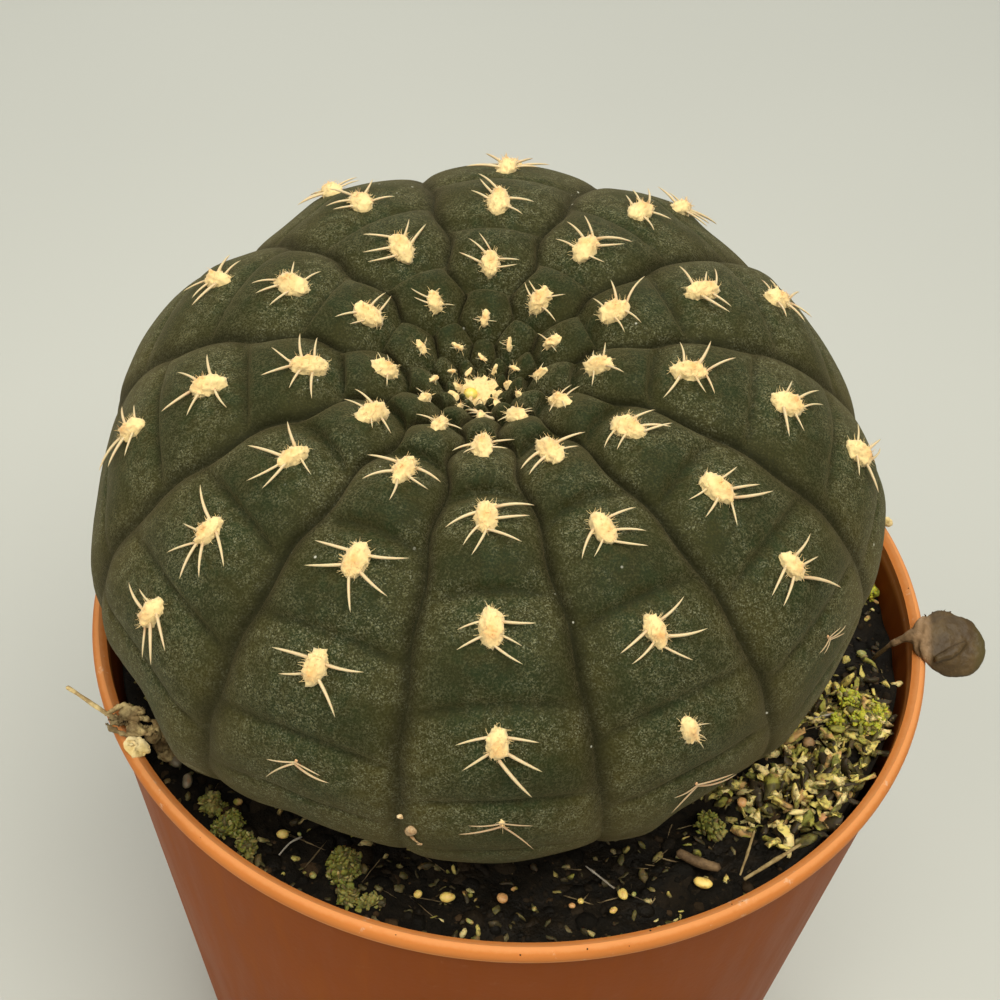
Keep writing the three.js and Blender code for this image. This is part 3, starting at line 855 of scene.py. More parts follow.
def crease_relief(nodes, step, shift, across):
    """Depth share of the creases, and the share of the way from one crease to the next."""
    place = step - shift - across * across * CREASE_BOW + CREASE_ABOVE
    chin = nodes.math("FRACT", place)
    nearest = nodes.math("MINIMUM", chin, 1 - chin)
    groove = nodes.math("EXPONENT", -((nearest / nodes.curve(CREASE_WIDTHS, step)) ** 2))
    hollow = 1 - nodes.sine((chin**1.5) * math.pi)
    held = 1 - abs(across) ** 5
    return nodes.between(groove, hollow, CHIN_SHARE) * held, chin


def skin_tree(sizes):
    """Group that gives the place on the skin of a turn, counted in ribs, and a step down the rib."""
    inputs = {"Turn": 0.0, "Step": 0.0, **opened(sizes)}
    nodes = Growth("Skin Place", inputs, ("Place", "Across", "Chin"))
    turn = nodes.input("Turn")
    step = nodes.input("Step")
    rib = nodes.math("FLOOR", turn + 0.5)
    across = (turn - rib) * 2
    shift = rib_shift(nodes, rib)

    def swelling(other_shift):
        return nodes.cosine((step - other_shift - TUBERCLE_MIDDLE) * math.tau)

    own = swelling(shift)
    right = nodes.math("MAXIMUM", across, 0) ** 2 * (own - swelling(rib_shift(nodes, rib + 1)))
    left = nodes.math("MAXIMUM", -across, 0) ** 2 * (swelling(rib_shift(nodes, rib - 1)) - own)
    woven = turn + (right + left) * nodes.input("Weave") * nodes.curve(WEAVE_SHARES, step)
    even = woven * RIB_ANGLE
    crowding = nodes.cosine(even + nodes.input("Crowded Side")) * nodes.input("Rib Crowding")
    azimuth = even + nodes.input("Rib Turn") + crowding

    polar = nodes.curve([(at, angle / 180) for at, angle in STEP_ANGLES], step)
    outline = nodes.curve([(angle / 180, radius * MM) for angle, radius in OUTLINE], polar)
    furrow = furrow_relief(nodes, abs(across), step) * nodes.curve(FURROW_SHARES, step)
    crease, chin = crease_relief(nodes, step, shift, across)
    crease = crease * nodes.curve(CREASE_SHARES, step)
    angle = polar * math.pi
    sine = nodes.sine(angle)
    way = nodes.xyz(
        sine * nodes.sine(azimuth),
        -sine * nodes.cosine(azimuth),
        nodes.cosine(angle),
    )
    rough = nodes.scaled(way, outline)
    waves = (nodes.noise(rough, 95, 1.5) - 0.5) * 2 * nodes.input("Waves")
    waves = waves * nodes.ramp(sine, 0.0, 0.15)
    for side, low, reach, height in FLANK_SWELLS:
        towards = nodes.cosine(azimuth - math.radians(side))
        beside = nodes.ramp(towards, math.cos(math.radians(reach)), 1.0)
        waves = waves + beside * nodes.ramp(abs(polar * 180 - low), 24.0, 0.0) * height * MM
    radius = outline - furrow * nodes.input("Furrow Depth") - crease * nodes.input("Crease Depth") + waves
    return nodes.finish(Place=nodes.scaled(way, radius), Across=across, Chin=chin)


def plant_place(sizes):
    """Where the plant stands and how it leans, as a place and a turn in Blender's order of axes."""
    lean = Matrix.Rotation(sizes.lean_forward, 3, "X") @ Matrix.Rotation(sizes.lean_sideways, 3, "Y")
    return Vector(sizes.centre), lean.to_euler()


def stood(nodes, geometry, sizes):
    """Puts what grew round the plant's own centre in its place in the pot."""
    centre, lean = plant_place(sizes)
    inputs = {"Geometry": geometry, "Translation": centre, "Rotation": lean}
    return nodes.out("GeometryNodeTransform", inputs)


# Steps at shares of the rows, from the pole to the root
ROW_STEPS = [(0, POLE_STEP), (0.9, 7.3), (0.96, 9.4), (1, ROOT_STEP)]


def skin_mesh_tree(sizes, skin):
    """Tree of the whole skin: a grid of turns and steps, closed along its seam and at both poles."""
    inputs = {"Columns": 36, "Rows": 200, **opened(sizes), "Skin": skin}
    nodes = Growth("Cactus Body", inputs)
    grid, x, y = nodes.grid(nodes.input("Columns") * RIBS + 1, nodes.input("Rows"))
    raw = (x + 0.5) * RIBS
    rib = nodes.math("FLOOR", raw + 0.5)
    share = (raw - rib) * 2
    across = share * (1.3 - share * share * 0.3)
    step = nodes.curve(ROW_STEPS, y + 0.5)
    skin_place = skin_at(nodes, sizes, rib + across / 2, step)
    chin = skin_place["Chin"]
    grid = nodes.store(grid, "step", step)
    grid = nodes.store(grid, "across", abs(skin_place["Across"]))
    grid = nodes.store(grid, "crease", nodes.math("MINIMUM", chin, 1 - chin))
    grid = nodes.store(grid, "below", nodes.sine(chin * math.tau))
    body = stood(nodes, nodes.closed(grid, skin_place["Place"]), sizes)
    return nodes.dressed(body, "Skin")


def areole_tree(sizes):
    """Group of the points where areoles grow, with the way that each faces and how grown it is."""
    nodes = Growth("Areole Points", opened(sizes))
    points = nodes.out("GeometryNodePoints", {"Count": RIBS * CELLS})
    index = nodes.out("GeometryNodeInputIndex")
    rib = nodes.math("FLOOR", (index + 0.5) / CELLS)
    step = index - rib * CELLS + FIRST_CELL + rib_shift(nodes, rib)

    def on_skin(turn_by, step_by):
        return skin_at(nodes, sizes, rib + turn_by, step + step_by)["Place"]

    down = nodes.vector("SUBTRACT", on_skin(0.0, NEAR_STEP), on_skin(0.0, -NEAR_STEP))
    down = nodes.vector("NORMALIZE", down)
    beside = nodes.vector("SUBTRACT", on_skin(NEAR_TURN, 0.0), on_skin(-NEAR_TURN, 0.0))
    out = nodes.vector("NORMALIZE", nodes.vector("CROSS_PRODUCT", down, beside))
    axes = {"Primary Axis": out, "Secondary Axis": down}
    facing = nodes.out("FunctionNodeAxesToRotation", axes, primary_axis="Z", secondary_axis="X")
    points = nodes.store(points, "facing", facing, "QUATERNION")
    points = nodes.store(points, "step", step)
    grown = nodes.curve(WOOL_SHARES, step)
    spined = nodes.curve(SPINE_SHARES, step)
    faded = 0.0
    for worn_rib, worn_cell, wool_left, spine_left in WORN_AREOLES:
        number = worn_rib * CELLS + worn_cell - FIRST_CELL
        worn = nodes.math("LESS_THAN", abs(index - number), 0.5)
        grown = grown * nodes.between(1.0, wool_left, worn)
        spined = spined * nodes.between(1.0, spine_left, worn)
        if wool_left < 0.5:
            faded = faded + worn
    points = nodes.store(points, "faded", faded)
    points = nodes.store(points, "grown", grown)
    points = nodes.store(points, "spined", spined)
    points = nodes.placed(points, position=on_skin(0.0, 0.0))
    step = nodes.attribute("step")
    points = nodes.without(points, "LESS_THAN", step, YOUNGEST_STEP)
    points = nodes.without(points, "GREATER_THAN", step, OLDEST_STEP)
    points = nodes.without(points, "LESS_THAN", nodes.attribute("grown"), LEAST_GROWN)
    return nodes.finish(Geometry=points)


def areoles(nodes, sizes):
    """The areoles' points inside a tree that has the skin's sizes as inputs."""
    return nodes.group(once(areole_tree, "Areole Points", sizes), **passed_on(nodes))["Geometry"]


def pad_tree(sizes):
    """Group of the wool pads and the crown's tuft, as lumpy closed domes."""
    inputs = {
        **opened(sizes, PAD_INPUTS),
        "Lumps": 0.7 * MM,
        "Seed": WOOL_SEED,
        **opened(sizes),
    }
    nodes = Growth("Wool Pads", inputs)
    seed = nodes.input("Seed")
    points = areoles(nodes, sizes)
    grown = nodes.attribute("grown") * nodes.random(0.88, 1.1, seed, 1)
    worn = nodes.ramp(nodes.attribute("step"), 4.6, 5.9, 1.0, 0.7)
    young = nodes.ramp(nodes.attribute("step"), 1.6, 0.0)
    slim = 1 - young * nodes.random(0.3, 0.62, seed, 9)
    askew = nodes.random(-1.1, 1.1, seed, 8) * young
    dome = nodes.out("GeometryNodeMeshIcoSphere", {"Radius": 1.0, "Subdivisions": 4})
    x, y, z = nodes.parts(nodes.position())
    dome = nodes.store(dome, "lift", z)
    low_middle = nodes.math("EXPONENT", -((x - 0.25) ** 2 * 3 + y**2 * 2.6))
    dome = nodes.store(dome, "warmth", low_middle * nodes.ramp(z, 0.0, 0.7))
    size = nodes.xyz(
        grown * nodes.input("Pad Length") / 2,
        grown * nodes.input("Pad Width") / 2 * nodes.random(0.88, 1.15, seed, 2) * slim,
        grown * nodes.input("Pad Height") * worn,
    )
    facing = nodes.turned(nodes.attribute("facing", "QUATERNION"), 0.0, 0.0, askew)
    points = nodes.store(points, "lumpy", nodes.ramp(grown * slim, 0.1, 0.7, 0.42, 1.0))
    pads = nodes.copies(points, dome, facing, size)
    at_top = nodes.xyz(0.0, 0.0, nodes.input("Tuft Height"))
    inputs = {"Geometry": dome, "Translation": at_top, "Scale": nodes.input("Tuft Size")}
    tuft = nodes.out("GeometryNodeTransform", inputs)
    tuft = nodes.store(tuft, "warmth", nodes.attribute("warmth") * 0.35)
    tuft = nodes.store(tuft, "lumpy", 1.6)
    pads = nodes.joined(pads, tuft)
    lumps = (nodes.noise(nodes.position(), 1150, 3, 0.6) - 0.5) * nodes.input("Lumps")
    tufts = nodes.ramp(nodes.noise(nodes.position(), 2600, 2, 0.6), 0.5, 0.75) * 0.28 * MM
    pads = nodes.swollen(pads, (lumps + tufts) * nodes.attribute("lumpy"))
    return nodes.finish(Geometry=pads)


def pads_in(nodes, sizes):
    """The pads grown inside a tree that has their sizes as inputs."""
    tree = once(pad_tree, "Wool Pads", sizes)
    given = passed_on(nodes, ("seed", *PAD_INPUTS, *SKIN_INPUTS))
    return nodes.group(tree, **given)["Geometry"]


def opened_pads(sizes):
    """The inputs of a tree that grows pads."""
    return {**opened(sizes, PAD_INPUTS), "Seed": WOOL_SEED, **opened(sizes)}


def wool_tree(sizes, wool):
    """Tree of the felted pads and the tuft on the crown."""
    nodes = Growth("Areole Wool", {**opened_pads(sizes), "Wool": wool})
    pads = stood(nodes, pads_in(nodes, sizes), sizes)
    return nodes.dressed(pads, "Wool")


def hair_tree(sizes, wool):
    """Tree of the short hairs that stand off the pads."""
    inputs = {
        **opened(sizes, ("hair_length",)),
        "Hair Density": 6.0,
        **opened_pads(sizes),
        "Wool": wool,
    }
    nodes = Growth("Wool Hairs", inputs)
    seed = nodes.input("Seed")
    hair = nodes.bent_rod(HAIR_BEND, HAIR_TAPER, 2, 3)
    above = nodes.compare("GREATER_THAN", nodes.attribute("lift"), 0.05)
    density = nodes.input("Hair Density") * PER_SQUARE_MM
    roots, facing = nodes.scattered(pads_in(nodes, sizes), density, seed, above)
    tilt = nodes.random(-1.4, -0.4, seed, 3)
    facing = nodes.turned(facing, 0.0, tilt, nodes.random(0.0, math.tau, seed, 5))
    length = nodes.input("Hair Length") * nodes.random(0.5, 1.5, seed, 6)
    hairs = nodes.copies(roots, hair, facing, nodes.xyz(length, length, length))
    hairs = stood(nodes, hairs, sizes)
    return nodes.dressed(hairs, "Wool")


def spine_tree(sizes, horn):
    """Tree of the spines: pairs that comb out of both sides of each pad, low over the skin."""
    inputs = {
        **opened(sizes, ("spine_length", "spine_radius")),
        "First Angle": math.radians(84),
        "Pair Turn": math.radians(25),
        "Angle Spread": math.radians(9),
        "Star Turn": math.radians(9),
        "Lift": math.radians(4),
        "Curl": 0.3,
        "Foot Reach": 3.6 * MM,
        "Seed": 5,
        **opened(sizes),
        "Horn": horn,
    }
    nodes = Growth("Spines", inputs)
    seed = nodes.input("Seed")
    points = areoles(nodes, sizes)
    step = nodes.attribute("step")
    wanted = nodes.curve(SPINE_COUNTS, step)
    points = nodes.store(points, "wanted", wanted + nodes.random(-0.9, 0.6, seed, 1))
    points = nodes.store(points, "fan", nodes.random(0.45, 1.3, seed, 7))
    loose = nodes.ramp(step, 2.2, 4.0, 2.2, 0.6)
    askew = nodes.random(-1.0, 1.0, seed, 8) * nodes.input("Star Turn") * loose
    points = nodes.store(points, "askew", askew)
    doubled = {"Geometry": points, "Amount": MOST_SPINES}
    copied = nodes.add("GeometryNodeDuplicateElements", doubled, domain="POINT")
    copies = Value(nodes, copied.outputs["Geometry"])
    order = Value(nodes, copied.outputs["Duplicate Index"])
    copies = nodes.store(copies, "order", order)
    order = nodes.attribute("order")
    copies = nodes.without(copies, "GREATER_EQUAL", order + 0.5, nodes.attribute("wanted"))
    pair = nodes.math("FLOOR", order / 2)
    side = 1 - (order % 2) * 2
    grown = nodes.attribute("spined")
    spread = nodes.random(-1.0, 1.0, seed, 2) * nodes.input("Angle Spread")
    turn = pair * nodes.input("Pair Turn") * nodes.attribute("fan")
    angle = side * (nodes.input("First Angle") - turn) + spread + nodes.attribute("askew")
    lift = nodes.input("Lift") * nodes.random(0.3, 1.9, seed, 3)
    facing = nodes.attribute("facing", "QUATERNION")
    smaller = nodes.math("MINIMUM", grown, nodes.attribute("grown"))
    reach = nodes.input("Foot Reach") * smaller * FOOT_SPACING
    start = nodes.xyz((pair - FIRST_FOOT) * reach, 0.0, FOOT_HEIGHT)
    start = nodes.out("FunctionNodeRotateVector", {"Vector": start, "Rotation": facing})
    copies = nodes.placed(copies, offset=start)
    thickness = nodes.input("Spine Radius") / nodes.input("Spine Length")
    spine = nodes.bent_rod(SPINE_BEND, SPINE_TAPER, 8, 6, thickness)
    copies = nodes.store(copies, "tint", nodes.random(0.0, 1.0, seed, 4))
    length = nodes.input("Spine Length") * grown * nodes.random(0.7, 1.14, seed, 5)
    thin = nodes.ramp(step, 4.6, 5.4, 1.0, 0.62)
    turned = nodes.turned(facing, 0.0, -lift, angle)
    sideways = nodes.xyz(0.0, length * nodes.random(-1.0, 1.0, seed, 6) * nodes.input("Curl"), 0.0)
    curl = nodes.out("FunctionNodeRotateVector", {"Vector": sideways, "Rotation": turned})
    copies = nodes.store(copies, "curl", curl, "FLOAT_VECTOR")
    spines = nodes.copies(copies, spine, turned, nodes.xyz(length, length * thin, length * thin))
    bent = nodes.scaled(nodes.attribute("curl", "FLOAT_VECTOR"), nodes.attribute("along") ** 2)
    spines = nodes.placed(spines, offset=bent)
    spines = stood(nodes, spines, sizes)
    return nodes.dressed(spines, "Horn")


# Pot and soil

# Sides of the pot, from +X towards +Y: where moss and litter lie thickest, with the cosines of the
# angles from there at which they end, and where the soil is heaped
MOSSY_SIDE = math.radians(-28)
MOSSY_EDGE = (0.94, 0.98)
HEAP_SIDE = math.radians(-26)
# Heights of the soil and of the rim, the soil's waves, and its rise along the wall between two
# distances from the middle, in millimetres
SOIL_TOP = 66.4
RIM_TOP = 72
SOIL_WAVES = 0.35
EDGE_RISE = 0.8
EDGE_START = 30
EDGE_END = 40
# Start, middle and end of a leaf one unit long, and its half width along it
LEAF_BEND = ((-0.3, 0, 0), (0.3, 0, 0.4), (0.7, 0, 0))
LEAF_TAPER = [(0, 0.3), (0.3, 0.9), (0.7, 1.0), (1, 0.25)]


def strewn(nodes):
    """Points strewn over a ground: thick on the mossy side, in clumps, and piled up there."""
    seed = nodes.input("Seed")
    ground = nodes.out("GeometryNodeObjectInfo", {"Object": nodes.input("Ground")}, "Geometry")
    x, y, z = nodes.parts(nodes.position())
    radius = nodes.math("SQRT", x * x + y * y)
    normal = nodes.out("GeometryNodeInputNormal", output="Normal")
    chosen = nodes.above(
        (radius, nodes.input("Inner Radius")),
        (nodes.input("Outer Radius"), radius),
        (z, nodes.input("Lowest")),
        (nodes.parts(normal)[2], nodes.input("Least Slope")),
    )
    points, facing = nodes.scattered(ground, nodes.input("Density") * PER_SQUARE_MM, seed, chosen)
    towards = towards_side(nodes, nodes.position(), MOSSY_SIDE)
    bare = nodes.random(0.0, 1.0, seed, 1) - nodes.ramp(towards, *MOSSY_EDGE)
    points = nodes.without(points, "GREATER_THAN", bare * nodes.input("One Sided"), 0.0)
    clump = nodes.noise(nodes.position(), 260, 2, 0.6)
    points = nodes.without(points, "LESS_THAN", clump, nodes.input("Clumping"))
    piled = nodes.ramp(clump, nodes.input("Clumping"), 0.75) * nodes.input("Pile")
    piled = piled * nodes.random(0.0, 1.0, seed, 9)
    points = nodes.placed(points, offset=nodes.xyz(0.0, 0.0, piled))
    points = nodes.store(points, "tone", nodes.random(0.0, 1.0, seed, 2))
    return points, facing


def towards_side(nodes, place, side):
    """The cosine of the angle round the pot between a place and a side."""
    x, y, _ = nodes.parts(place)
    return (x * math.cos(side) + y * math.sin(side)) / nodes.math("SQRT", x * x + y * y)


# Inputs of the trees that strew things, with their defaults
STREWN_INPUTS = {
    "Ground": None,
    "Density": 1.5,
    "Lowest": 62 * MM,
    "Inner Radius": 24 * MM,
    "Outer Radius": 39.4 * MM,
    "Least Slope": 0.25,
    "One Sided": 0.0,
    "Clumping": 0.0,
    "Pile": 0.0,
    "Seed": 1,
}


def crumb_tree(material):
    """Tree of crumbs or grains that lie on a ground, each of its own size, turn and tone."""
    inputs = {
        **STREWN_INPUTS,
        "Smallest": 0.3 * MM,
        "Largest": 1.0 * MM,
        "Detail": 2,
        "Flatness": 0.75,
        "Roughness": 0.35,
        "Sunk": 0.2,
        "Material": material,
    }
    nodes = Growth("Crumbs", inputs)
    seed = nodes.input("Seed")
    points, facing = strewn(nodes)
    span = nodes.input("Largest") - nodes.input("Smallest")
    size = nodes.input("Smallest") + span * nodes.random(0.0, 1.0, seed, 3) ** 2.6
    points = nodes.store(points, "size", size)
    size = nodes.attribute("size")
    points = nodes.placed(points, offset=nodes.xyz(0.0, 0.0, size * nodes.input("Sunk") * -1))
    ball = {"Radius": 0.5, "Subdivisions": nodes.input("Detail")}
    shape = nodes.out("GeometryNodeMeshIcoSphere", ball)
    wide = nodes.xyz(
        size * nodes.random(0.8, 1.25, seed, 4),
        size * nodes.random(0.7, 1.0, seed, 5),
        size * nodes.input("Flatness"),
    )
    turn = nodes.turned(
        facing,
        nodes.random(-0.5, 0.5, seed, 6),
        nodes.random(-0.5, 0.5, seed, 7),
        nodes.random(0.0, math.tau, seed, 8),
    )
    crumbs = nodes.copies(points, shape, turn, wide)
    lumps = (nodes.noise(nodes.position(), 1700, 3, 0.65) - 0.5) * 2 * nodes.attribute("size")
    crumbs = nodes.swollen(crumbs, lumps * nodes.input("Roughness"))
    return nodes.dressed(crumbs, "Material")


def leaf_tree(material):
    """Tree of small leaves, flakes or fibres on a ground, crooked and each in a tone of its own."""
    inputs = {
        **STREWN_INPUTS,
        "Length": 1.0 * MM,
        "Width": 0.4 * MM,
        "Flatness": 0.5,
        "Steps": 4,
        "Sides": 6,
        "Least Tilt": 0.3,
        "Most Tilt": 1.3,
        "Crookedness": 0.0,
        "Material": material,
    }
    nodes = Growth("Leaves", inputs)
    seed = nodes.input("Seed")
    points, facing = strewn(nodes)
    leaf = nodes.bent_rod(LEAF_BEND, LEAF_TAPER, nodes.input("Steps"), nodes.input("Sides"), 0.5)
    slim = nodes.input("Width") / nodes.input("Length")
    flat = {"Geometry": leaf, "Scale": nodes.xyz(1.0, slim, slim * nodes.input("Flatness"))}
    leaf = nodes.out("GeometryNodeTransform", flat)
    tilt = nodes.random(nodes.input("Least Tilt"), nodes.input("Most Tilt"), seed, 3)
    roll = nodes.random(-0.9, 0.9, seed, 4)
    facing = nodes.turned(facing, 0.0, 0.0, nodes.random(0.0, math.tau, seed, 5))
    facing = nodes.turned(facing, roll, -tilt, 0.0)
    length = nodes.input("Length") * nodes.random(0.55, 1.45, seed, 6)
    breadth = length * nodes.random(0.6, 1.5, seed, 7)
    leaves = nodes.copies(points, leaf, facing, nodes.xyz(length, breadth, breadth))
    shift = nodes.noise(nodes.position(), 1500, 2, 0.6, "Color")
    shift = nodes.vector("SUBTRACT", shift, (0.5, 0.5, 0.5))
    crooked = nodes.input("Crookedness") * nodes.input("Length")
    leaves = nodes.placed(leaves, offset=nodes.scaled(shift, crooked))
    return nodes.dressed(leaves, "Material")


# The plant's underside and root, as distances from its axis and depths below its centre, in
# millimetres, with room around the root
PIT = [
    (0, -50), (6, -45), (11, -34), (15, -27.5), (18, -23.5), (21, -20), (25.1, -15.2), (27, -13),
    (33, -5),
]
BED_INPUTS = (
    "top_radius", "bottom_radius", "soil_height", "soil_bottom", "edge_rise", "heap", "soil_waves",
    "crumble",
)
# Shares of the bed's rows in its top and in its side
TOP_SHARE = 0.9
SIDE_SHARE = 0.06


def bed_tree(sizes, plant, peat):
    """Tree of the soil: a crumbly top with a pit for the plant's root, a side and a flat bottom."""
    inputs = {
        "Sides": 300,
        "Rings": 120,
        **opened(sizes, BED_INPUTS),
        "Peat": peat,
    }
    nodes = Growth("Soil Bed", inputs)
    grid, x, y = nodes.grid(nodes.input("Sides") + 1, nodes.input("Rings"))
    angle = x * math.tau
    row = y + 0.5
    drop = nodes.held((row - TOP_SHARE) / SIDE_SHARE)
    out_to = nodes.math("MINIMUM", row / TOP_SHARE, (1 - row) / (1 - TOP_SHARE - SIDE_SHARE))
    out_to = nodes.held(out_to)
    radius = out_to * nodes.between(nodes.input("Top Radius"), nodes.input("Bottom Radius"), drop)
    east = radius * nodes.cosine(angle)
    north = radius * nodes.sine(angle)
    rise = nodes.ramp(radius, EDGE_START * MM, EDGE_END * MM) * nodes.input("Edge Rise")
    waves = soil_waves(east, north, nodes.sine, nodes.cosine)
    flat = nodes.xyz(east, north, 0.0)
    heap = nodes.ramp(towards_side(nodes, flat, HEAP_SIDE), 0.9, 0.99) * nodes.ramp(radius, 31 * MM, 40 * MM)
    rise = rise + heap * nodes.input("Heap")
    crumble = (nodes.noise(flat, 280, 2, 0.6) - 0.5) * 1.7 + (nodes.noise(flat, 900, 2, 0.6) - 0.5) * 0.8
    top = nodes.input("Soil Height") + rise + waves * nodes.input("Soil Waves")
    top = top + crumble * nodes.input("Crumble")
    centre, lean = plant_place(plant)
    local = nodes.vector("SUBTRACT", nodes.xyz(east, north, 65 * MM), centre)
    inputs = {"Vector": local, "Rotation": lean}
    turned = nodes.out("ShaderNodeVectorRotate", inputs, rotation_type="EULER_XYZ", invert=True)
    side, front, _ = nodes.parts(turned)
    from_axis = nodes.math("SQRT", side * side + front * front)
    pit = nodes.curve([(out * MM, depth * MM) for out, depth in PIT], from_axis) + centre.z
    top = nodes.math("MINIMUM", top, pit)
    height = nodes.between(top, nodes.input("Soil Bottom"), drop)
    bed = nodes.closed(grid, nodes.xyz(east, north, height))
    bed = nodes.store(bed, "tone", nodes.noise(nodes.position(), 700, 2, 0.6))
    return nodes.dressed(bed, "Peat")


def turned_shell(name, profile, sides):
    """A closed shell turned round the pot's axis from a profile of radii and heights."""
    shell = bmesh.new()
    rings = []
    for radius, height in profile:
        if not radius:
            rings.append([shell.verts.new((0, 0, height))])
            continue
        angles = [math.tau * index / sides for index in range(sides)]
        rings.append([shell.verts.new((radius * math.cos(a), radius * math.sin(a), height)) for a in angles])
    for lower, upper in zip(rings, rings[1:]):
        for index in range(sides):
            following = (index + 1) % sides
            if len(lower) == 1:
                shell.faces.new((lower[0], upper[following], upper[index]))
            elif len(upper) == 1:
                shell.faces.new((lower[index], lower[following], upper[0]))
            else:
                shell.faces.new((lower[index], lower[following], upper[following], upper[index]))
    bmesh.ops.recalc_face_normals(shell, faces=shell.faces)
    return finished(name, shell)


def finished(name, form, smooth=True):
    """An object in the scene from a bmesh, which is freed."""
    mesh = bpy.data.meshes.new(name)
    for face in form.faces:
        face.smooth = smooth
    form.to_mesh(mesh)
    form.free()
    piece = bpy.data.objects.new(name, mesh)
    bpy.context.scene.collection.objects.link(piece)
    return piece


def settled(piece):
    """Applies the piece's modifiers and leaves a plain mesh."""
    graph = bpy.context.evaluated_depsgraph_get()
    mesh = bpy.data.meshes.new_from_object(piece.evaluated_get(graph), depsgraph=graph)
    piece.modifiers.clear()
    piece.data = mesh
    mesh.name = piece.name
    return piece


def arc(centre, radii, start, end, count):
    """Points of a profile along part of an ellipse, angles in degrees from straight out."""
    angles = [math.radians(start + (end - start) * index / count) for index in range(count + 1)]
    ways = [(math.cos(angle), math.sin(angle)) for angle in angles]
    return [(centre[0] + radii[0] * out, centre[1] + radii[1] * up) for out, up in ways]


# Radius of the curve round the pot's foot, and the steps in which its wall is divided
FOOT_CURVE = 1.2 * MM
WALL_STEPS = 24


def pot_profile(pot):
    """The pot's section: outside from the middle of its underside up, over the bead and back inside."""
    ring_low, ring_high = pot.channel_inner, pot.channel_outer
    rise = pot.channel_rise
    wall, floor = pot.wall, pot.floor
    half_bead = (pot.bead_width / 2, pot.bead_height / 2)
    middle = (pot.rim_radius - half_bead[0], pot.height - half_bead[1])
    bead = arc(middle, half_bead, -90, 90, 20)
    foot = arc((pot.foot_radius - FOOT_CURVE, FOOT_CURVE), (FOOT_CURVE, FOOT_CURVE), -90, 0, 8)
    under = [(0, 0), (ring_low, 0), (ring_low + MM, rise), (ring_high - MM, rise), (ring_high, 0)]
    below_bead = (middle[0] + 0.06 * MM, pot.height - pot.bead_height - 0.05 * MM)
    outside = []
    for index in range(1, WALL_STEPS):
        share = index / WALL_STEPS
        radius = pot.foot_radius + (below_bead[0] - pot.foot_radius) * share
        outside.append((radius, FOOT_CURVE + (below_bead[1] - FOOT_CURVE) * share))
    inner_top = (pot.rim_radius - pot.bead_width, pot.height - 0.5 * MM)
    inside = [
        inner_top,
        (pot.foot_radius - wall, floor + rise),
        (pot.foot_radius - wall - FOOT_CURVE, floor),
        (ring_high + 0.4 * MM, floor),
        (ring_high - 0.6 * MM, floor + rise),
        (ring_low + 0.6 * MM, floor + rise),
        (ring_low - 0.4 * MM, floor),
        (0, floor),
    ]
    return under + foot + outside + bead + inside


def make_pot(pot, plastic):
    """The nursery pot with its rolled bead and six drain holes in the raised ring of its floor."""
    shell = turned_shell("pot_shell", pot_profile(pot), 240)
    drains = bmesh.new()
    for index in range(pot.drain_count):
        angle = math.tau * (index + 0.5) / pot.drain_count
        ring = (pot.channel_inner + pot.channel_outer) / 2
        at = Matrix.Translation((ring * math.cos(angle), ring * math.sin(angle), 2 * MM))
        size = {"radius1": pot.drain_radius, "radius2": pot.drain_radius, "depth": 8 * MM}
        bmesh.ops.create_cone(drains, cap_ends=True, segments=40, matrix=at, **size)
    cutter = finished("drain_cutter", drains, smooth=False)
    cut = shell.modifiers.new("Drains", "BOOLEAN")
    cut.operation = "DIFFERENCE"
    cut.solver = "EXACT"
    cut.object = cutter
    settled(shell)
    bpy.data.objects.remove(cutter)
    shell.data.materials.clear()
    shell.data.materials.append(plastic)
    shell.data.shade_smooth()
    shell.data.set_sharp_from_angle(angle=math.radians(35))
    return shell


# Dry bits


def path_points(points, steps):
    """Points evenly spaced in parameter along a smooth line through the given points."""
    line = [points[0] * 2 - points[1]] + points + [points[-1] * 2 - points[-2]]
    placed = []
    for index in range(1, len(line) - 2):
        before, start, end, after = line[index - 1 : index + 3]
        for count in range(steps):
            t = count / steps
            placed.append(
                (
                    start * 2
                    + (end - before) * t
                    + (before * 2 - start * 5 + end * 4 - after) * t**2
                    + (start * 3 - before - end * 3 + after) * t**3
                )
                / 2
            )
    placed.append(points[-1])
    return placed


def add_limb(form, points, radii, steps=6, sides=16, flatness=1.0):
    """Adds a closed limb to a bmesh, round its path, with rounded ends and radii in millimetres."""
    line = [Vector((*point, radius)) * MM for point, radius in zip(points, radii)]
    rings = path_points(line, steps)
    spine = [Vector(ring[:3]) for ring in rings]
    widths = [ring[3] for ring in rings]
    along = len(spine) - 1
    previous = None
    for index, place in enumerate(spine):
        way = (spine[min(index + 1, along)] - spine[max(index - 1, 0)]).normalized()
        side = way.cross(Vector((0, 0, 1))).normalized()
        up = side.cross(way).normalized()
        ring = []
        for turn in range(sides):
            angle = math.tau * turn / sides
            out = side * math.cos(angle) + up * math.sin(angle) * flatness
            ring.append(form.verts.new(place + out * widths[index]))
        if previous:
            for turn in range(sides):
                following = (turn + 1) % sides
                form.faces.new((previous[turn], previous[following], ring[following], ring[turn]))
        else:
            cap_end(form, ring, place - way * widths[index] * 0.6, first=True)
        previous = ring
    cap_end(form, previous, spine[-1] + way * widths[-1] * 0.6, first=False)


def cap_end(form, ring, tip, first):
    """Closes the end of a limb with a fan to its tip."""
    point = form.verts.new(tip)
    for turn, vertex in enumerate(ring):
        following = ring[(turn + 1) % len(ring)]
        form.faces.new((point, following, vertex) if first else (point, vertex, following))


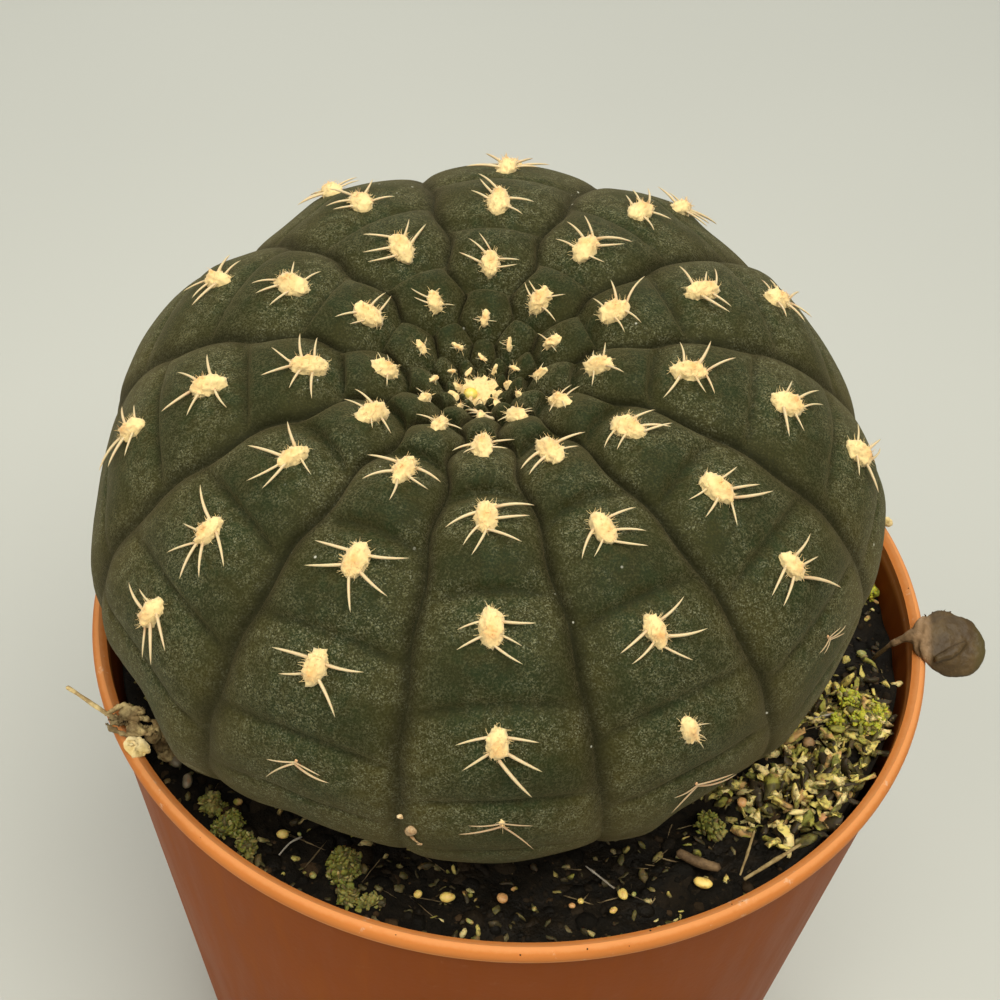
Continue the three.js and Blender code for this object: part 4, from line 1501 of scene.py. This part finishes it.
def add_bean(form, centre, size, tips, segments=32):
    """Adds a flattened bean to a bmesh, sizes in millimetres, tipped about Y and then X in degrees."""
    about_y, about_x = [math.radians(tip) for tip in tips]
    turn = Euler((about_x, about_y, 0)).to_matrix().to_4x4()
    scale = Matrix.Diagonal((*(length / 2 * MM for length in size), 1))
    place = Matrix.Translation(Vector(centre) * MM) @ turn @ scale
    bmesh.ops.create_uvsphere(form, u_segments=segments, v_segments=segments // 2, radius=1, matrix=place)


def beans(parts, segments=32):
    """A bmesh of beans, each from its middle, size and tips."""
    form = bmesh.new()
    for part in parts:
        add_bean(form, *part, segments)
    return form


def fused(name, form, voxel, rough_scale, rough_depth, material):
    """One closed skin round all that a bmesh holds, with a rough surface."""
    bmesh.ops.recalc_face_normals(form, faces=form.faces)
    piece = finished(name, form)
    remesh = piece.modifiers.new("One Skin", "REMESH")
    remesh.mode = "VOXEL"
    remesh.voxel_size = voxel
    remesh.use_smooth_shade = True
    settled(piece)
    roughened(piece, rough_scale, rough_depth)
    piece.data.materials.append(material)
    return piece


def roughened(piece, scale, depth):
    """Moves each point along its normal by smooth noise of that scale and depth."""
    for vertex in piece.data.vertices:
        swell = noise.fractal(vertex.co * scale, 1.0, 2.0, 3)
        vertex.co += vertex.normal * swell * depth
    piece.data.update()


def shaped(name, form, material, rough_scale=0, rough_depth=0):
    """A piece from a bmesh with its material, and with a rough surface where it has a depth."""
    piece = finished(name, form)
    if rough_depth:
        roughened(piece, rough_scale, rough_depth)
    piece.data.materials.append(material)
    return piece


def rod(name, points, radii, material, flatness=1.0):
    """A straw or twig along its points, in millimetres."""
    form = bmesh.new()
    add_limb(form, points, radii, steps=10, sides=14, flatness=flatness)
    bmesh.ops.recalc_face_normals(form, faces=form.faces)
    return shaped(name, form, material, 900, 0.06 * MM)


def soil_waves(x, y, sine, cosine):
    """Height share of the soil's waves at a place in metres, for numbers or for values of a tree."""
    first = sine(x * 610 + 1.3) * cosine(y * 530)
    return first + sine(x * 1130 - y * 900) * 0.6


def on_soil(points):
    """Points with heights above the soil, in millimetres, as points in the pot."""
    placed = []
    for x, y, above in points:
        edge = min(max((math.hypot(x, y) - EDGE_START) / (EDGE_END - EDGE_START), 0), 1)
        rise = EDGE_RISE * edge**2 * (3 - 2 * edge)
        waves = SOIL_WAVES * soil_waves(x * MM, y * MM, math.sin, math.cos)
        placed.append((x, y, SOIL_TOP + rise + waves + above))
    return placed


def on_rim(points):
    """Points with heights from the rim, in millimetres, as points in the pot."""
    return [(x, y, RIM_TOP + above) for x, y, above in points]


# Where lines of sight start: a height above the plant and a place before it, in millimetres
ABOVE_ALL = 150
BEFORE_ALL = -80


def on_body(start, way, above):
    """Where a straight line first meets the skin, and a little above it, in millimetres."""
    body = bpy.data.objects["cactus_body"]
    met, place, normal, _ = body.ray_cast(Vector(start) * MM, Vector(way))
    if not met:
        raise ValueError(f"no skin found from {start}")
    return place / MM + normal * above


def on_top(x, y, above):
    """A place on the skin seen from above."""
    return on_body((x, y, ABOVE_ALL), (0, 0, -1), above)


def on_front(x, z, above):
    """A place on the skin seen from the front."""
    return on_body((x, BEFORE_ALL, z), (0, 1, 0), above)


# Things on the skin: places seen from above, and from the front, in millimetres, and the scar's
# tip in degrees
BUD = (-4.8, -4.4)
BUD_SIZE = (1.25, 1.15, 1.1)
LONG_SPINE = [(-5.9, -6.1), (-4.5, -7.3), (-2.9, -8.1), (-1.2, -8)]
SCAR = (-6.5, 82)
SCAR_TIP = 17.188734
SCAR_FLECK = (-7.4, 83.1)
SCAR_FIBRE = [(-6.5, 81.4), (-6.1, 80.8), (-5.6, 80.5)]
# Other things: places in the pot with heights above the soil or the rim
LONG_STRAW = [(23, -30.8, 1.2), (25.6, -29.4, 2.1), (27.9, -28, 2.9)]
SHORT_STRAW = [(22.6, -30.5, 1.3), (23.3, -28.5, 2), (23.9, -26.5, 2.6)]
TWIG = [(17.1, -28.5, 1.1), (19, -29.1, 1.1), (20.8, -29.4, 1)]
# Parts of the dry fruit: middle, size and tips about Y and X in degrees
FRUIT_PARTS = [
    ((44.5, -4.8, 72.9), (6.8, 6.4, 2), (6, 34)),
    ((43.6, -3.9, 73.1), (5, 5.8, 1.6), (4, 34)),
    ((41.9, -3.9, 72.8), (2.6, 4.8, 1.5), (0, 30)),
]
FRUIT_NECK = [(42.4, -3.9, 0.6), (41.2, -3.7, 0.7), (39.9, -3.5, 0), (38.7, -3.3, -1.8), (37.8, -3.1, -3.9)]
FRUIT_RIDGE = [(42.6, -6.8, 0.8), (44, -6.2, 1.4), (45.6, -5, 1.9)]
FLOWER_PARTS = [
    ((-34.4, -21.7, 73), (2, 1.3, 1), (10, 10)),
    ((-35.4, -22.6, 72.9), (1.7, 1.1, 0.9), (0, 20)),
    ((-33.5, -23, 72.5), (2.3, 1.4, 1), (20, 0)),
    ((-32.3, -22.7, 71.6), (1.8, 1.6, 1.3), (40, 0)),
    ((-31.7, -22.3, 69.9), (1.3, 1.3, 2.8), (0, 0)),
    ((-31.3, -22.4, 68.4), (2, 1.6, 1.3), (10, 20)),
]
FLOWER_STALK = [(-40.4, -20.5, 2.6), (-38.4, -21.3, 1.9), (-36.4, -22.2, 1.3), (-34.8, -22.6, 0.9)]
FLOWER_STRANDS = [
    [(-36.5, -22.4, 1.4), (-35, -21.3, 1.6), (-33.2, -21.5, 1.1)],
    [(-36.4, -23.1, 0.9), (-34.4, -23.9, 0.8), (-32.2, -23.5, 0.4)],
    [(-34, -22.4, 1.3), (-32.6, -22, 0.6), (-31.2, -21.9, -1)],
]
RIM_CRUMB = ((40, 12.9, 72.7), (1.3, 1, 0.9), (20, 30))
FLAKE = ((-33.1, -24.9, 72.35), (2.4, 1.7, 0.24), (14, 26))
# How rough the surfaces of the flake and of the crumb are: scale and depth
FLAKE_ROUGHNESS = (1100, 0.45 * MM)
# Pellets on the soil: place, half length and slenderness in millimetres, and tone
PELLETS = [
    (-19.2, -29.3, 0.55, 0.8, 0.9), (-17.6, -29.4, 0.25, 0.8, 0.35), (-15.7, -33.6, 0.35, 0.9, 0.3),
    (-6.2, -34.4, 0.42, 0.9, 0.9), (-3.5, -34.7, 0.72, 0.7, 0.9), (-1.4, -37.1, 0.4, 0.5, 0.35),
    (1.4, -34.5, 0.52, 0.95, 0.6), (4.3, -34.8, 0.26, 0.9, 0.35), (7.6, -34.5, 0.3, 0.9, 0.7),
    (8.3, -34, 0.32, 0.9, 0.9), (12.1, -32.8, 0.62, 0.75, 0.95), (13.1, -32.8, 0.28, 0.9, 0.35),
    (11.2, -34.9, 0.38, 0.8, 0.9), (19.4, -31.1, 0.85, 0.65, 0.95), (26, -21.1, 1, 0.55, 0.6),
    (23.4, -21.7, 0.5, 0.9, 0.6), (26.8, -19.6, 0.5, 0.8, 0.9), (37, -1.7, 0.5, 0.7, 0.35),
    (-30.4, -23, 0.75, 0.7, 0.05), (-28.8, -25.2, 0.85, 0.6, 0.05),
]
# Turn from one pellet to the next, in radians
PELLET_TURN = 2.4
# Thin bare roots on the soil
ROOT_THREADS = [
    [(8.7, -30.1, 0.9), (9.6, -31.2, 1.1), (11.3, -32.4, 0.9)],
    [(-19, -32, 0.5), (-18.2, -30.8, 0.9), (-17.3, -29.9, 0.6)],
    [(31, -11.4, 0.8), (33.6, -10.6, 1.4), (36, -9.6, 1.2)],
]
# Mounds of moss: place in the pot and half width, in millimetres
MOSS_MOUNDS = [
    (34.4, -9.6, 69.5, 0.85), (35.9, -12.7, 69.4, 1.35), (33.6, -12.1, 68.4, 0.9),
    (37, -11, 69.4, 0.8), (20.1, -24.5, 67.3, 1.1), (-13, -32.2, 67.1, 1.35),
    (-26.1, -27.4, 67.3, 0.9), (-24.2, -29.3, 67.3, 1.15), (-22.2, -31, 67.3, 0.75),
    (-12.4, -35.2, 67.2, 0.9), (-10.3, -35.9, 67.2, 0.75), (38.6, 7.2, 67.6, 1),
    (38.6, 11.2, 68.4, 1.3), (38.4, 12.4, 70.2, 1.4), (38.9, 14.1, 72.2, 1.1),
]

# Inputs of what is strewn on the soil, on the rim and on the mounds of moss
CRUMBS = {
    "peat_crumbs": {"density": 1.5, "detail": 1, "seed": 11},
    "peat_clods": {"density": 0.24, "smallest": 1.1 * MM, "largest": 2.8 * MM, "seed": 12},
    "grit": {
        "density": 0.1, "smallest": 0.4 * MM, "largest": 1.5 * MM, "roughness": 0.3, "sunk": 0.0,
        "one_sided": 1.0, "seed": 13,
    },
    "spilled_crumbs": {
        "density": 0.07, "smallest": 0.12 * MM, "largest": 0.34 * MM, "lowest": 71.6 * MM,
        "inner_radius": 41 * MM, "outer_radius": 43 * MM, "detail": 1, "seed": 16,
    },
}
LEAVES = {
    "leaf_litter": {
        "density": 2.9, "length": 1.8 * MM, "width": 0.66 * MM, "least_tilt": -0.2, "most_tilt": 1.0,
        "crookedness": 0.8, "one_sided": 1.0, "clumping": 0.45, "pile": 2.2 * MM,
        "outer_radius": 40 * MM, "seed": 15,
    },
    "leaf_bits": {
        "density": 0.33, "length": 0.85 * MM, "width": 0.5 * MM, "least_tilt": -0.1,
        "most_tilt": 0.8, "crookedness": 0.8, "seed": 17,
    },
    "fibres": {
        "density": 0.07, "length": 3 * MM, "width": 0.1 * MM, "flatness": 1.0, "steps": 6,
        "sides": 3, "least_tilt": -0.1, "most_tilt": 0.25, "crookedness": 0.1,
        "inner_radius": 20 * MM, "outer_radius": 36.5 * MM, "seed": 14,
    },
    "moss_leaves": {
        "density": 11.0, "length": 0.62 * MM, "width": 0.4 * MM, "flatness": 0.6, "steps": 3,
        "sides": 5, "least_tilt": 0.3, "most_tilt": 1.2, "crookedness": 0.35,
        "lowest": SOIL_TOP * MM, "least_slope": -0.4, "inner_radius": 0.0, "seed": 21,
    },
}


# Add-on


def length(name, description, default):
    return bpy.props.FloatProperty(name=name, description=description, default=default, unit="LENGTH")


def angle(name, description, degrees):
    turn = math.radians(degrees)
    return bpy.props.FloatProperty(name=name, description=description, default=turn, subtype="ANGLE")


def colour(name, description, default):
    return bpy.props.FloatVectorProperty(
        name=name, description=description, default=default, subtype="COLOR", size=3, min=0, max=1
    )


class CactusSizes(bpy.types.PropertyGroup):
    """Sizes of the plant."""

    centre: bpy.props.FloatVectorProperty(
        name="Centre",
        description="Middle of the body, above the middle of the pot's underside",
        default=(-3 * MM, 0.2 * MM, 79 * MM),
        subtype="TRANSLATION",
        unit="LENGTH",
    )
    lean_forward: angle("Lean Forward", "Lean towards the front", 9.6)
    lean_sideways: angle("Lean Sideways", "Lean towards the left", -3.6)
    furrow_depth: length("Furrow Depth", "Depth of the furrows between ribs", 2.6 * MM)
    crease_depth: length("Crease Depth", "Depth of the creases above each chin", 0.85 * MM)
    weave: bpy.props.FloatProperty(
        name="Weave", description="Sideways swing of the furrows round the chins, in ribs", default=0.08
    )
    waves: length("Waves", "Unevenness of the skin", 0.3 * MM)
    rib_turn: angle("Rib Turn", "Turn of all ribs", 2.8)
    rib_crowding: angle("Rib Crowding", "How far the ribs crowd to one side", 8.6)
    crowded_side: angle("Crowded Side", "Side where the ribs crowd", 62)
    pad_length: length("Pad Length", "Length of a grown wool pad down the rib", 2.9 * MM)
    pad_width: length("Pad Width", "Width of a grown wool pad", 1.7 * MM)
    pad_height: length("Pad Height", "Height of a grown wool pad", 1.05 * MM)
    tuft_size: bpy.props.FloatVectorProperty(
        name="Tuft Size",
        description="Half sizes of the wool on the crown",
        default=(2.35 * MM, 2.05 * MM, 1.5 * MM),
        unit="LENGTH",
    )
    tuft_height: length("Tuft Height", "Height of the crown's wool above the centre", 20.2 * MM)
    hair_length: length("Hair Length", "Length of the wool's hairs", 0.4 * MM)
    spine_length: length("Spine Length", "Length of a grown spine", 3.5 * MM)
    spine_radius: length("Spine Radius", "Radius of a spine at its foot", 0.145 * MM)


class PotSizes(bpy.types.PropertyGroup):
    """Sizes of the pot and of the soil in it."""

    height: length("Height", "Height of the pot", RIM_TOP * MM)
    rim_radius: length("Rim Radius", "Radius over the bead", 42.5 * MM)
    bead_width: length("Bead Width", "Width of the rolled bead", 1.42 * MM)
    bead_height: length("Bead Height", "Height of the rolled bead", 2 * MM)
    foot_radius: length("Foot Radius", "Radius of the foot", 35.5 * MM)
    wall: length("Wall", "Thickness of the wall", 0.9 * MM)
    floor: length("Floor", "Thickness of the floor", 1.2 * MM)
    channel_inner: length("Channel Inside", "Inner radius of the raised ring in the floor", 17.5 * MM)
    channel_outer: length("Channel Outside", "Outer radius of the raised ring in the floor", 28.5 * MM)
    channel_rise: length("Channel Rise", "Rise of the ring in the floor", 1.2 * MM)
    drain_count: bpy.props.IntProperty(name="Drains", description="Number of drain holes", default=6)
    drain_radius: length("Drain Radius", "Radius of a drain hole", 3 * MM)
    top_radius: length("Soil Top Radius", "Radius of the soil at its top", 40.15 * MM)
    bottom_radius: length("Soil Bottom Radius", "Radius of the soil at its bottom", 34.3 * MM)
    soil_height: length("Soil Height", "Height of the soil in the middle", 66.2 * MM)
    soil_bottom: length("Soil Bottom", "Height of the soil's bottom", 2.7 * MM)
    edge_rise: length("Edge Rise", "Rise of the soil along the wall", EDGE_RISE * MM)
    heap: length("Heap", "Rise of the soil where it is heaped against the wall", 2.6 * MM)
    soil_waves: length("Soil Waves", "Height of the soil's waves", SOIL_WAVES * MM)
    crumble: length("Crumble", "Roughness of the soil", 1.0 * MM)


class Colours(bpy.types.PropertyGroup):
    """Colours of the finishes."""

    skin: colour("Skin", "Main colour of the skin", (0.0245, 0.0245, 0.0052))
    skin_green: colour("Green", "Middle of the chins", (0.015, 0.027, 0.008))
    skin_olive: colour("Olive", "Skin low down and towards the furrows", (0.048, 0.039, 0.0075))
    skin_grain: colour("Grain", "Pale grains on the skin", (0.13, 0.131, 0.062))
    wool: colour("Wool", "Wool of the areoles", (0.85, 0.655, 0.31))
    wool_warm: colour("Warm Wool", "Middle of the wool pads", (0.72, 0.37, 0.12))
    spine: colour("Spine", "Spines", (0.62, 0.49, 0.28))
    spine_foot: colour("Spine Foot", "Foot of the spines", (0.44, 0.27, 0.13))
    pot: colour("Pot", "Pot plastic", (0.24, 0.058, 0.008))
    pot_dark: colour("Pot Shade", "Darker clouds in the pot's plastic", (0.2, 0.048, 0.008))
    # painted light: the bead's colour is made lighter for the light falling on it from above
    pot_rim_painted_light: colour("Pot Rim", "Bead made lighter by painted light from above", (0.55, 0.19, 0.047))
    floor: colour("Floor", "Floor under the pot", (0.487, 0.504, 0.477))


def settings():
    """The add-on's sizes and colours."""
    scene = bpy.context.scene
    return scene.cactus_sizes, scene.pot_sizes, scene.cactus_colours


class CACTUS_OT_body(bpy.types.Operator):
    """Grow the ribbed body with its chins."""

    bl_idname = "cactus.body"
    bl_label = "Body"

    def execute(self, context):
        sizes, _, colours = settings()
        skin = skin_finish(colours)
        body = grow("cactus_body", skin_mesh_tree(sizes, skin), skin=skin)
        keep(body, "cactus_skin", "cactus")
        return {"FINISHED"}


def make_bud():
    """The yellow bud in the crown."""
    return shaped("crown_bud", beans([(on_top(*BUD, 0.4), BUD_SIZE, (0, 0))]), bud_finish())


def make_scar():
    """The small corky scar low on the front, with a fleck and a fibre beside it."""
    form = bmesh.new()
    add_bean(form, on_front(*SCAR, 0.1), (0.9, 0.8, 1.2), (0, SCAR_TIP))
    add_bean(form, on_front(*SCAR_FLECK, 0.1), (0.5, 0.4, 0.4), (0, 0))
    add_limb(form, [on_front(*place, 0.15) for place in SCAR_FIBRE], (0.14, 0.12, 0.06))
    return shaped("skin_scar", form, dry_finish("scar"), 1600, 0.2 * MM)


class CACTUS_OT_wool(bpy.types.Operator):
    """Grow the wool pads, the crown's tuft and their hairs, and add the bud and the scar."""

    bl_idname = "cactus.wool"
    bl_label = "Wool"

    def execute(self, context):
        sizes, _, colours = settings()
        wool = wool_finish(colours)
        pads = grow("areole_wool", wool_tree(sizes, wool), wool=wool)
        hairs = grow("wool_hairs", hair_tree(sizes, wool), wool=wool)
        bpy.context.view_layer.update()
        for piece in (pads, hairs, make_bud(), make_scar()):
            keep(piece, None)
        return {"FINISHED"}


class CACTUS_OT_spines(bpy.types.Operator):
    """Grow the spines, and lay the loose one across the crown."""

    bl_idname = "cactus.spines"
    bl_label = "Spines"

    def execute(self, context):
        sizes, _, colours = settings()
        horn = spine_finish(colours)
        keep(grow("spines", spine_tree(sizes, horn), horn=horn), None)
        form = bmesh.new()
        add_limb(form, [on_top(*place, 0.3) for place in LONG_SPINE], (0.06, 0.12, 0.16, 0.17), sides=10)
        keep(shaped("lying_spine", form, horn, 1500, 0.06 * MM), None)
        return {"FINISHED"}


class CACTUS_OT_pot(bpy.types.Operator):
    """Turn the nursery pot."""

    bl_idname = "cactus.pot"
    bl_label = "Pot"

    def execute(self, context):
        _, pot, colours = settings()
        keep(make_pot(pot, pot_finish(colours)), "pot_plastic", "pot")
        return {"FINISHED"}


class CACTUS_OT_soil(bpy.types.Operator):
    """Fill the pot with peat and strew crumbs, clods and grit."""

    bl_idname = "cactus.soil"
    bl_label = "Soil"

    def execute(self, context):
        plant, pot, _ = settings()
        peat = peat_finish()
        bed = keep(grow("soil_bed", bed_tree(pot, plant, peat), peat=peat), "soil", "soil")
        tree = crumb_tree(peat)
        grounds = {"spilled_crumbs": bpy.data.objects["pot_shell"]}
        finishes = {"grit": grit_finish()}
        for name, inputs in CRUMBS.items():
            ground = grounds.get(name, bed)
            finish = finishes.get(name, peat)
            keep(grow(name, tree, ground=ground, material=finish, **inputs), "soil")
        return {"FINISHED"}


class CACTUS_OT_moss(bpy.types.Operator):
    """Strew litter, fibres, pellets and roots on the soil, and grow moss on its mounds."""

    bl_idname = "cactus.moss"
    bl_label = "Moss"

    def execute(self, context):
        bed = bpy.data.objects["soil_bed"]
        finishes = {
            "leaf_litter": litter_finish("leaf litter", 0.05),
            "leaf_bits": litter_finish("old leaf litter", 0.9),
            "fibres": dry_finish("fibre"),
        }
        tree = leaf_tree(finishes["leaf_litter"])
        for name, finish in finishes.items():
            keep(grow(name, tree, ground=bed, material=finish, **LEAVES[name]), "soil")
        keep(make_pellets(), "soil")
        keep(make_roots(), "soil")
        moss = moss_finish()
        mounds = keep(make_mounds(moss), None)
        keep(grow("moss_leaves", tree, ground=mounds, material=moss, **LEAVES["moss_leaves"]), None)
        return {"FINISHED"}


def make_pellets():
    """The pellets, each half sunk where it lies, with its tone stored on its points."""
    form = bmesh.new()
    layer = form.verts.layers.float.new("tone")
    for number, (x, y, half, slenderness, tone) in enumerate(PELLETS):
        centre = Vector(on_soil([(x, y, half * 0.5 + 0.3)])[0]) * MM
        turn = Matrix.Rotation(number * PELLET_TURN, 4, "Z")
        scale = Matrix.Diagonal((half * MM, half * slenderness * MM, half * 0.8 * slenderness * MM, 1))
        place = Matrix.Translation(centre) @ turn @ scale
        made = bmesh.ops.create_icosphere(form, subdivisions=3, radius=1, matrix=place)
        for vertex in made["verts"]:
            vertex[layer] = tone
    return shaped("pellets", form, nugget_finish(), 900, 0.12 * MM)


def make_roots():
    """The thin bare roots on the soil."""
    form = bmesh.new()
    for thread in ROOT_THREADS:
        add_limb(form, on_soil(thread), (0.06, 0.11, 0.07), steps=8, sides=8)
    return shaped("root_threads", form, dry_finish("root"), 900, 0.05 * MM)


def make_mounds(moss):
    """The mounds on which the moss leaves grow."""
    form = bmesh.new()
    for x, y, z, half in MOSS_MOUNDS:
        scale = Matrix.Diagonal((half * MM, half * MM, half * 0.75 * MM, 1))
        place = Matrix.Translation(Vector((x, y, z)) * MM) @ scale
        bmesh.ops.create_icosphere(form, subdivisions=3, radius=1, matrix=place)
    return shaped("moss_mounds", form, moss, 700, 0.6 * MM)


def make_fruit():
    """The dry fruit with its neck and a ridge."""
    form = beans(FRUIT_PARTS)
    add_limb(form, on_rim(FRUIT_NECK), (1.2, 1, 0.45, 0.28, 0.25))
    add_limb(form, on_rim(FRUIT_RIDGE), (0.3, 0.42, 0.25))
    return fused("dried_fruit", form, 0.15 * MM, 380, 0.28 * MM, husk_finish())


def make_flower(withered):
    """The shrivelled flower with the strands of its petals."""
    form = beans(FLOWER_PARTS, segments=20)
    for strand in FLOWER_STRANDS:
        add_limb(form, on_rim(strand), (0.14, 0.2, 0.14))
    return fused("dried_flower", form, 0.1 * MM, 950, 0.42 * MM, withered)


class CACTUS_OT_litter(bpy.types.Operator):
    """Lay the dry fruit, the dry flower, the straws and the twig on the soil and the rim."""

    bl_idname = "cactus.litter"
    bl_label = "Litter"

    def execute(self, context):
        keep(make_fruit(), "dry_fruit", "dry_fruit")
        withered = dry_finish("withered")
        keep(make_flower(withered), "dry_flower", "dry_flower")
        stalk = rod("flower_stalk", on_rim(FLOWER_STALK), (0.2, 0.22, 0.22, 0.26), withered, 0.7)
        keep(stalk, "dry_flower")
        papery = dry_finish("flake")
        keep(shaped("flower_flake", beans([FLAKE]), papery, *FLAKE_ROUGHNESS), "dry_flower")
        keep(shaped("rim_crumb", beans([RIM_CRUMB]), papery, *FLAKE_ROUGHNESS), None)
        straw = dry_finish("straw")
        long_straw = rod("straw_stem", on_soil(LONG_STRAW), (0.14, 0.2, 0.13), straw, 0.7)
        keep(long_straw, "straw", "straw_long")
        short_straw = rod("straw_chip", on_soil(SHORT_STRAW), (0.09, 0.14, 0.08), straw, 0.7)
        keep(short_straw, "straw", "straw_short")
        twig = rod("twig_piece", on_soil(TWIG), (0.4, 0.5, 0.4), dry_finish("bark"))
        keep(twig, "twig", "twig")
        return {"FINISHED"}


class CACTUS_OT_stage(bpy.types.Operator):
    """Set the floor, the soft lights and the camera."""

    bl_idname = "cactus.stage"
    bl_label = "Stage"

    def execute(self, context):
        _, _, colours = settings()
        make_floor(colours)
        make_lights()
        make_camera()
        return {"FINISHED"}


def make_floor(colours):
    """A wide pale floor with a faint mottle."""
    form = bmesh.new()
    bmesh.ops.create_grid(form, x_segments=8, y_segments=8, size=4)
    floor = finished("floor", form)
    finish = Finish("floor paint", Specular_IOR_Level=0.2)
    mottle = finish.clouds(3, 2, 0.5)
    shade = tuple(part * 0.93 for part in colours.floor)
    paint = finish.colour(colours.floor[:], (finish.ramp(mottle, 0.3, 0.7), shade))
    floor.data.materials.append(finish.end(paint, 0.85))


# Soft lamps, from above, from the left and from behind: name, place, width, power and tint
LAMPS = (
    ("key", (0.15, -0.2, 0.66), 0.5, 5.6, (1, 0.95, 0.84)),
    ("fill", (-0.5, -0.3, 0.45), 0.6, 2.6, (1, 0.95, 0.84)),
    ("back", (0.0, 0.6, 0.5), 0.6, 2.2, (1, 0.97, 0.9)),
)
LAMP_AIM = Vector((0, 0, 0.07))
SKY_COLOUR = (0.95, 0.96, 0.9, 1)
SKY_STRENGTH = 0.2


def add_light(name, place, width, power, tint):
    """A soft square lamp that faces the plant."""
    lamp = bpy.data.lights.new(name, "AREA")
    lamp.shape = "SQUARE"
    lamp.size = width
    lamp.energy = power
    lamp.color = tint
    light = bpy.data.objects.new(name, lamp)
    light.location = place
    light.rotation_euler = (Vector(place) - LAMP_AIM).to_track_quat("Z", "Y").to_euler()
    bpy.context.scene.collection.objects.link(light)


def make_lights():
    """The lamps and a dim pale sky."""
    for lamp in LAMPS:
        add_light(*lamp)
    world = bpy.data.worlds.new("pale room")
    world.use_nodes = True
    sky = world.node_tree.nodes["Background"]
    sky.inputs["Color"].default_value = SKY_COLOUR
    sky.inputs["Strength"].default_value = SKY_STRENGTH
    bpy.context.scene.world = world
    bpy.context.scene.view_settings.view_transform = "Standard"


# The camera looks at the middle of the rim, from the front and above
CAMERA_AIM = Vector((0, 0, RIM_TOP * MM))
CAMERA_DISTANCE = 155.52 * MM
CAMERA_HEIGHT_ANGLE = 0.81243
CAMERA_TURNS = (("Y", 0.01286), ("X", 0.05355), ("Z", 0.08158))


def make_camera():
    """The photograph's view: a lens of 54 mm on a 36 mm sensor, close and steeply down."""
    camera = bpy.data.cameras.new("camera")
    camera.lens = 54
    camera.sensor_width = 36
    camera.clip_start = 0.01
    view = Matrix.Rotation(math.pi / 2 - CAMERA_HEIGHT_ANGLE, 3, "X")
    for axis, turn in CAMERA_TURNS:
        view = view @ Matrix.Rotation(turn, 3, axis)
    away = Vector((0, -math.cos(CAMERA_HEIGHT_ANGLE), math.sin(CAMERA_HEIGHT_ANGLE)))
    eye = bpy.data.objects.new("camera", camera)
    eye.matrix_world = Matrix.Translation(CAMERA_AIM + away * CAMERA_DISTANCE) @ view.to_4x4()
    bpy.context.scene.collection.objects.link(eye)
    bpy.context.scene.camera = eye


OPERATORS = (
    CACTUS_OT_body,
    CACTUS_OT_wool,
    CACTUS_OT_spines,
    CACTUS_OT_pot,
    CACTUS_OT_soil,
    CACTUS_OT_moss,
    CACTUS_OT_litter,
    CACTUS_OT_stage,
)


class CACTUS_PT_panel(bpy.types.Panel):
    """Lists the pieces to build and their sizes."""

    bl_idname = "CACTUS_PT_panel"
    bl_label = "Potted Cactus"
    bl_space_type = "VIEW_3D"
    bl_region_type = "UI"
    bl_category = "Potted Cactus"

    def draw(self, context):
        for operator in OPERATORS:
            self.layout.operator(operator.bl_idname)
        for group in settings():
            box = self.layout.box()
            for label in group.__annotations__:
                box.prop(group, label)


CLASSES = (CactusSizes, PotSizes, Colours, *OPERATORS, CACTUS_PT_panel)


def register():
    for kind in CLASSES:
        bpy.utils.register_class(kind)
    bpy.types.Scene.cactus_sizes = bpy.props.PointerProperty(type=CactusSizes)
    bpy.types.Scene.pot_sizes = bpy.props.PointerProperty(type=PotSizes)
    bpy.types.Scene.cactus_colours = bpy.props.PointerProperty(type=Colours)


def unregister():
    del bpy.types.Scene.cactus_colours
    del bpy.types.Scene.pot_sizes
    del bpy.types.Scene.cactus_sizes
    for kind in reversed(CLASSES):
        bpy.utils.unregister_class(kind)


def main():
    register()
    for operator in OPERATORS:
        group, name = operator.bl_idname.split(".")
        getattr(getattr(bpy.ops, group), name)()


if __name__ == "__main__":
    main()
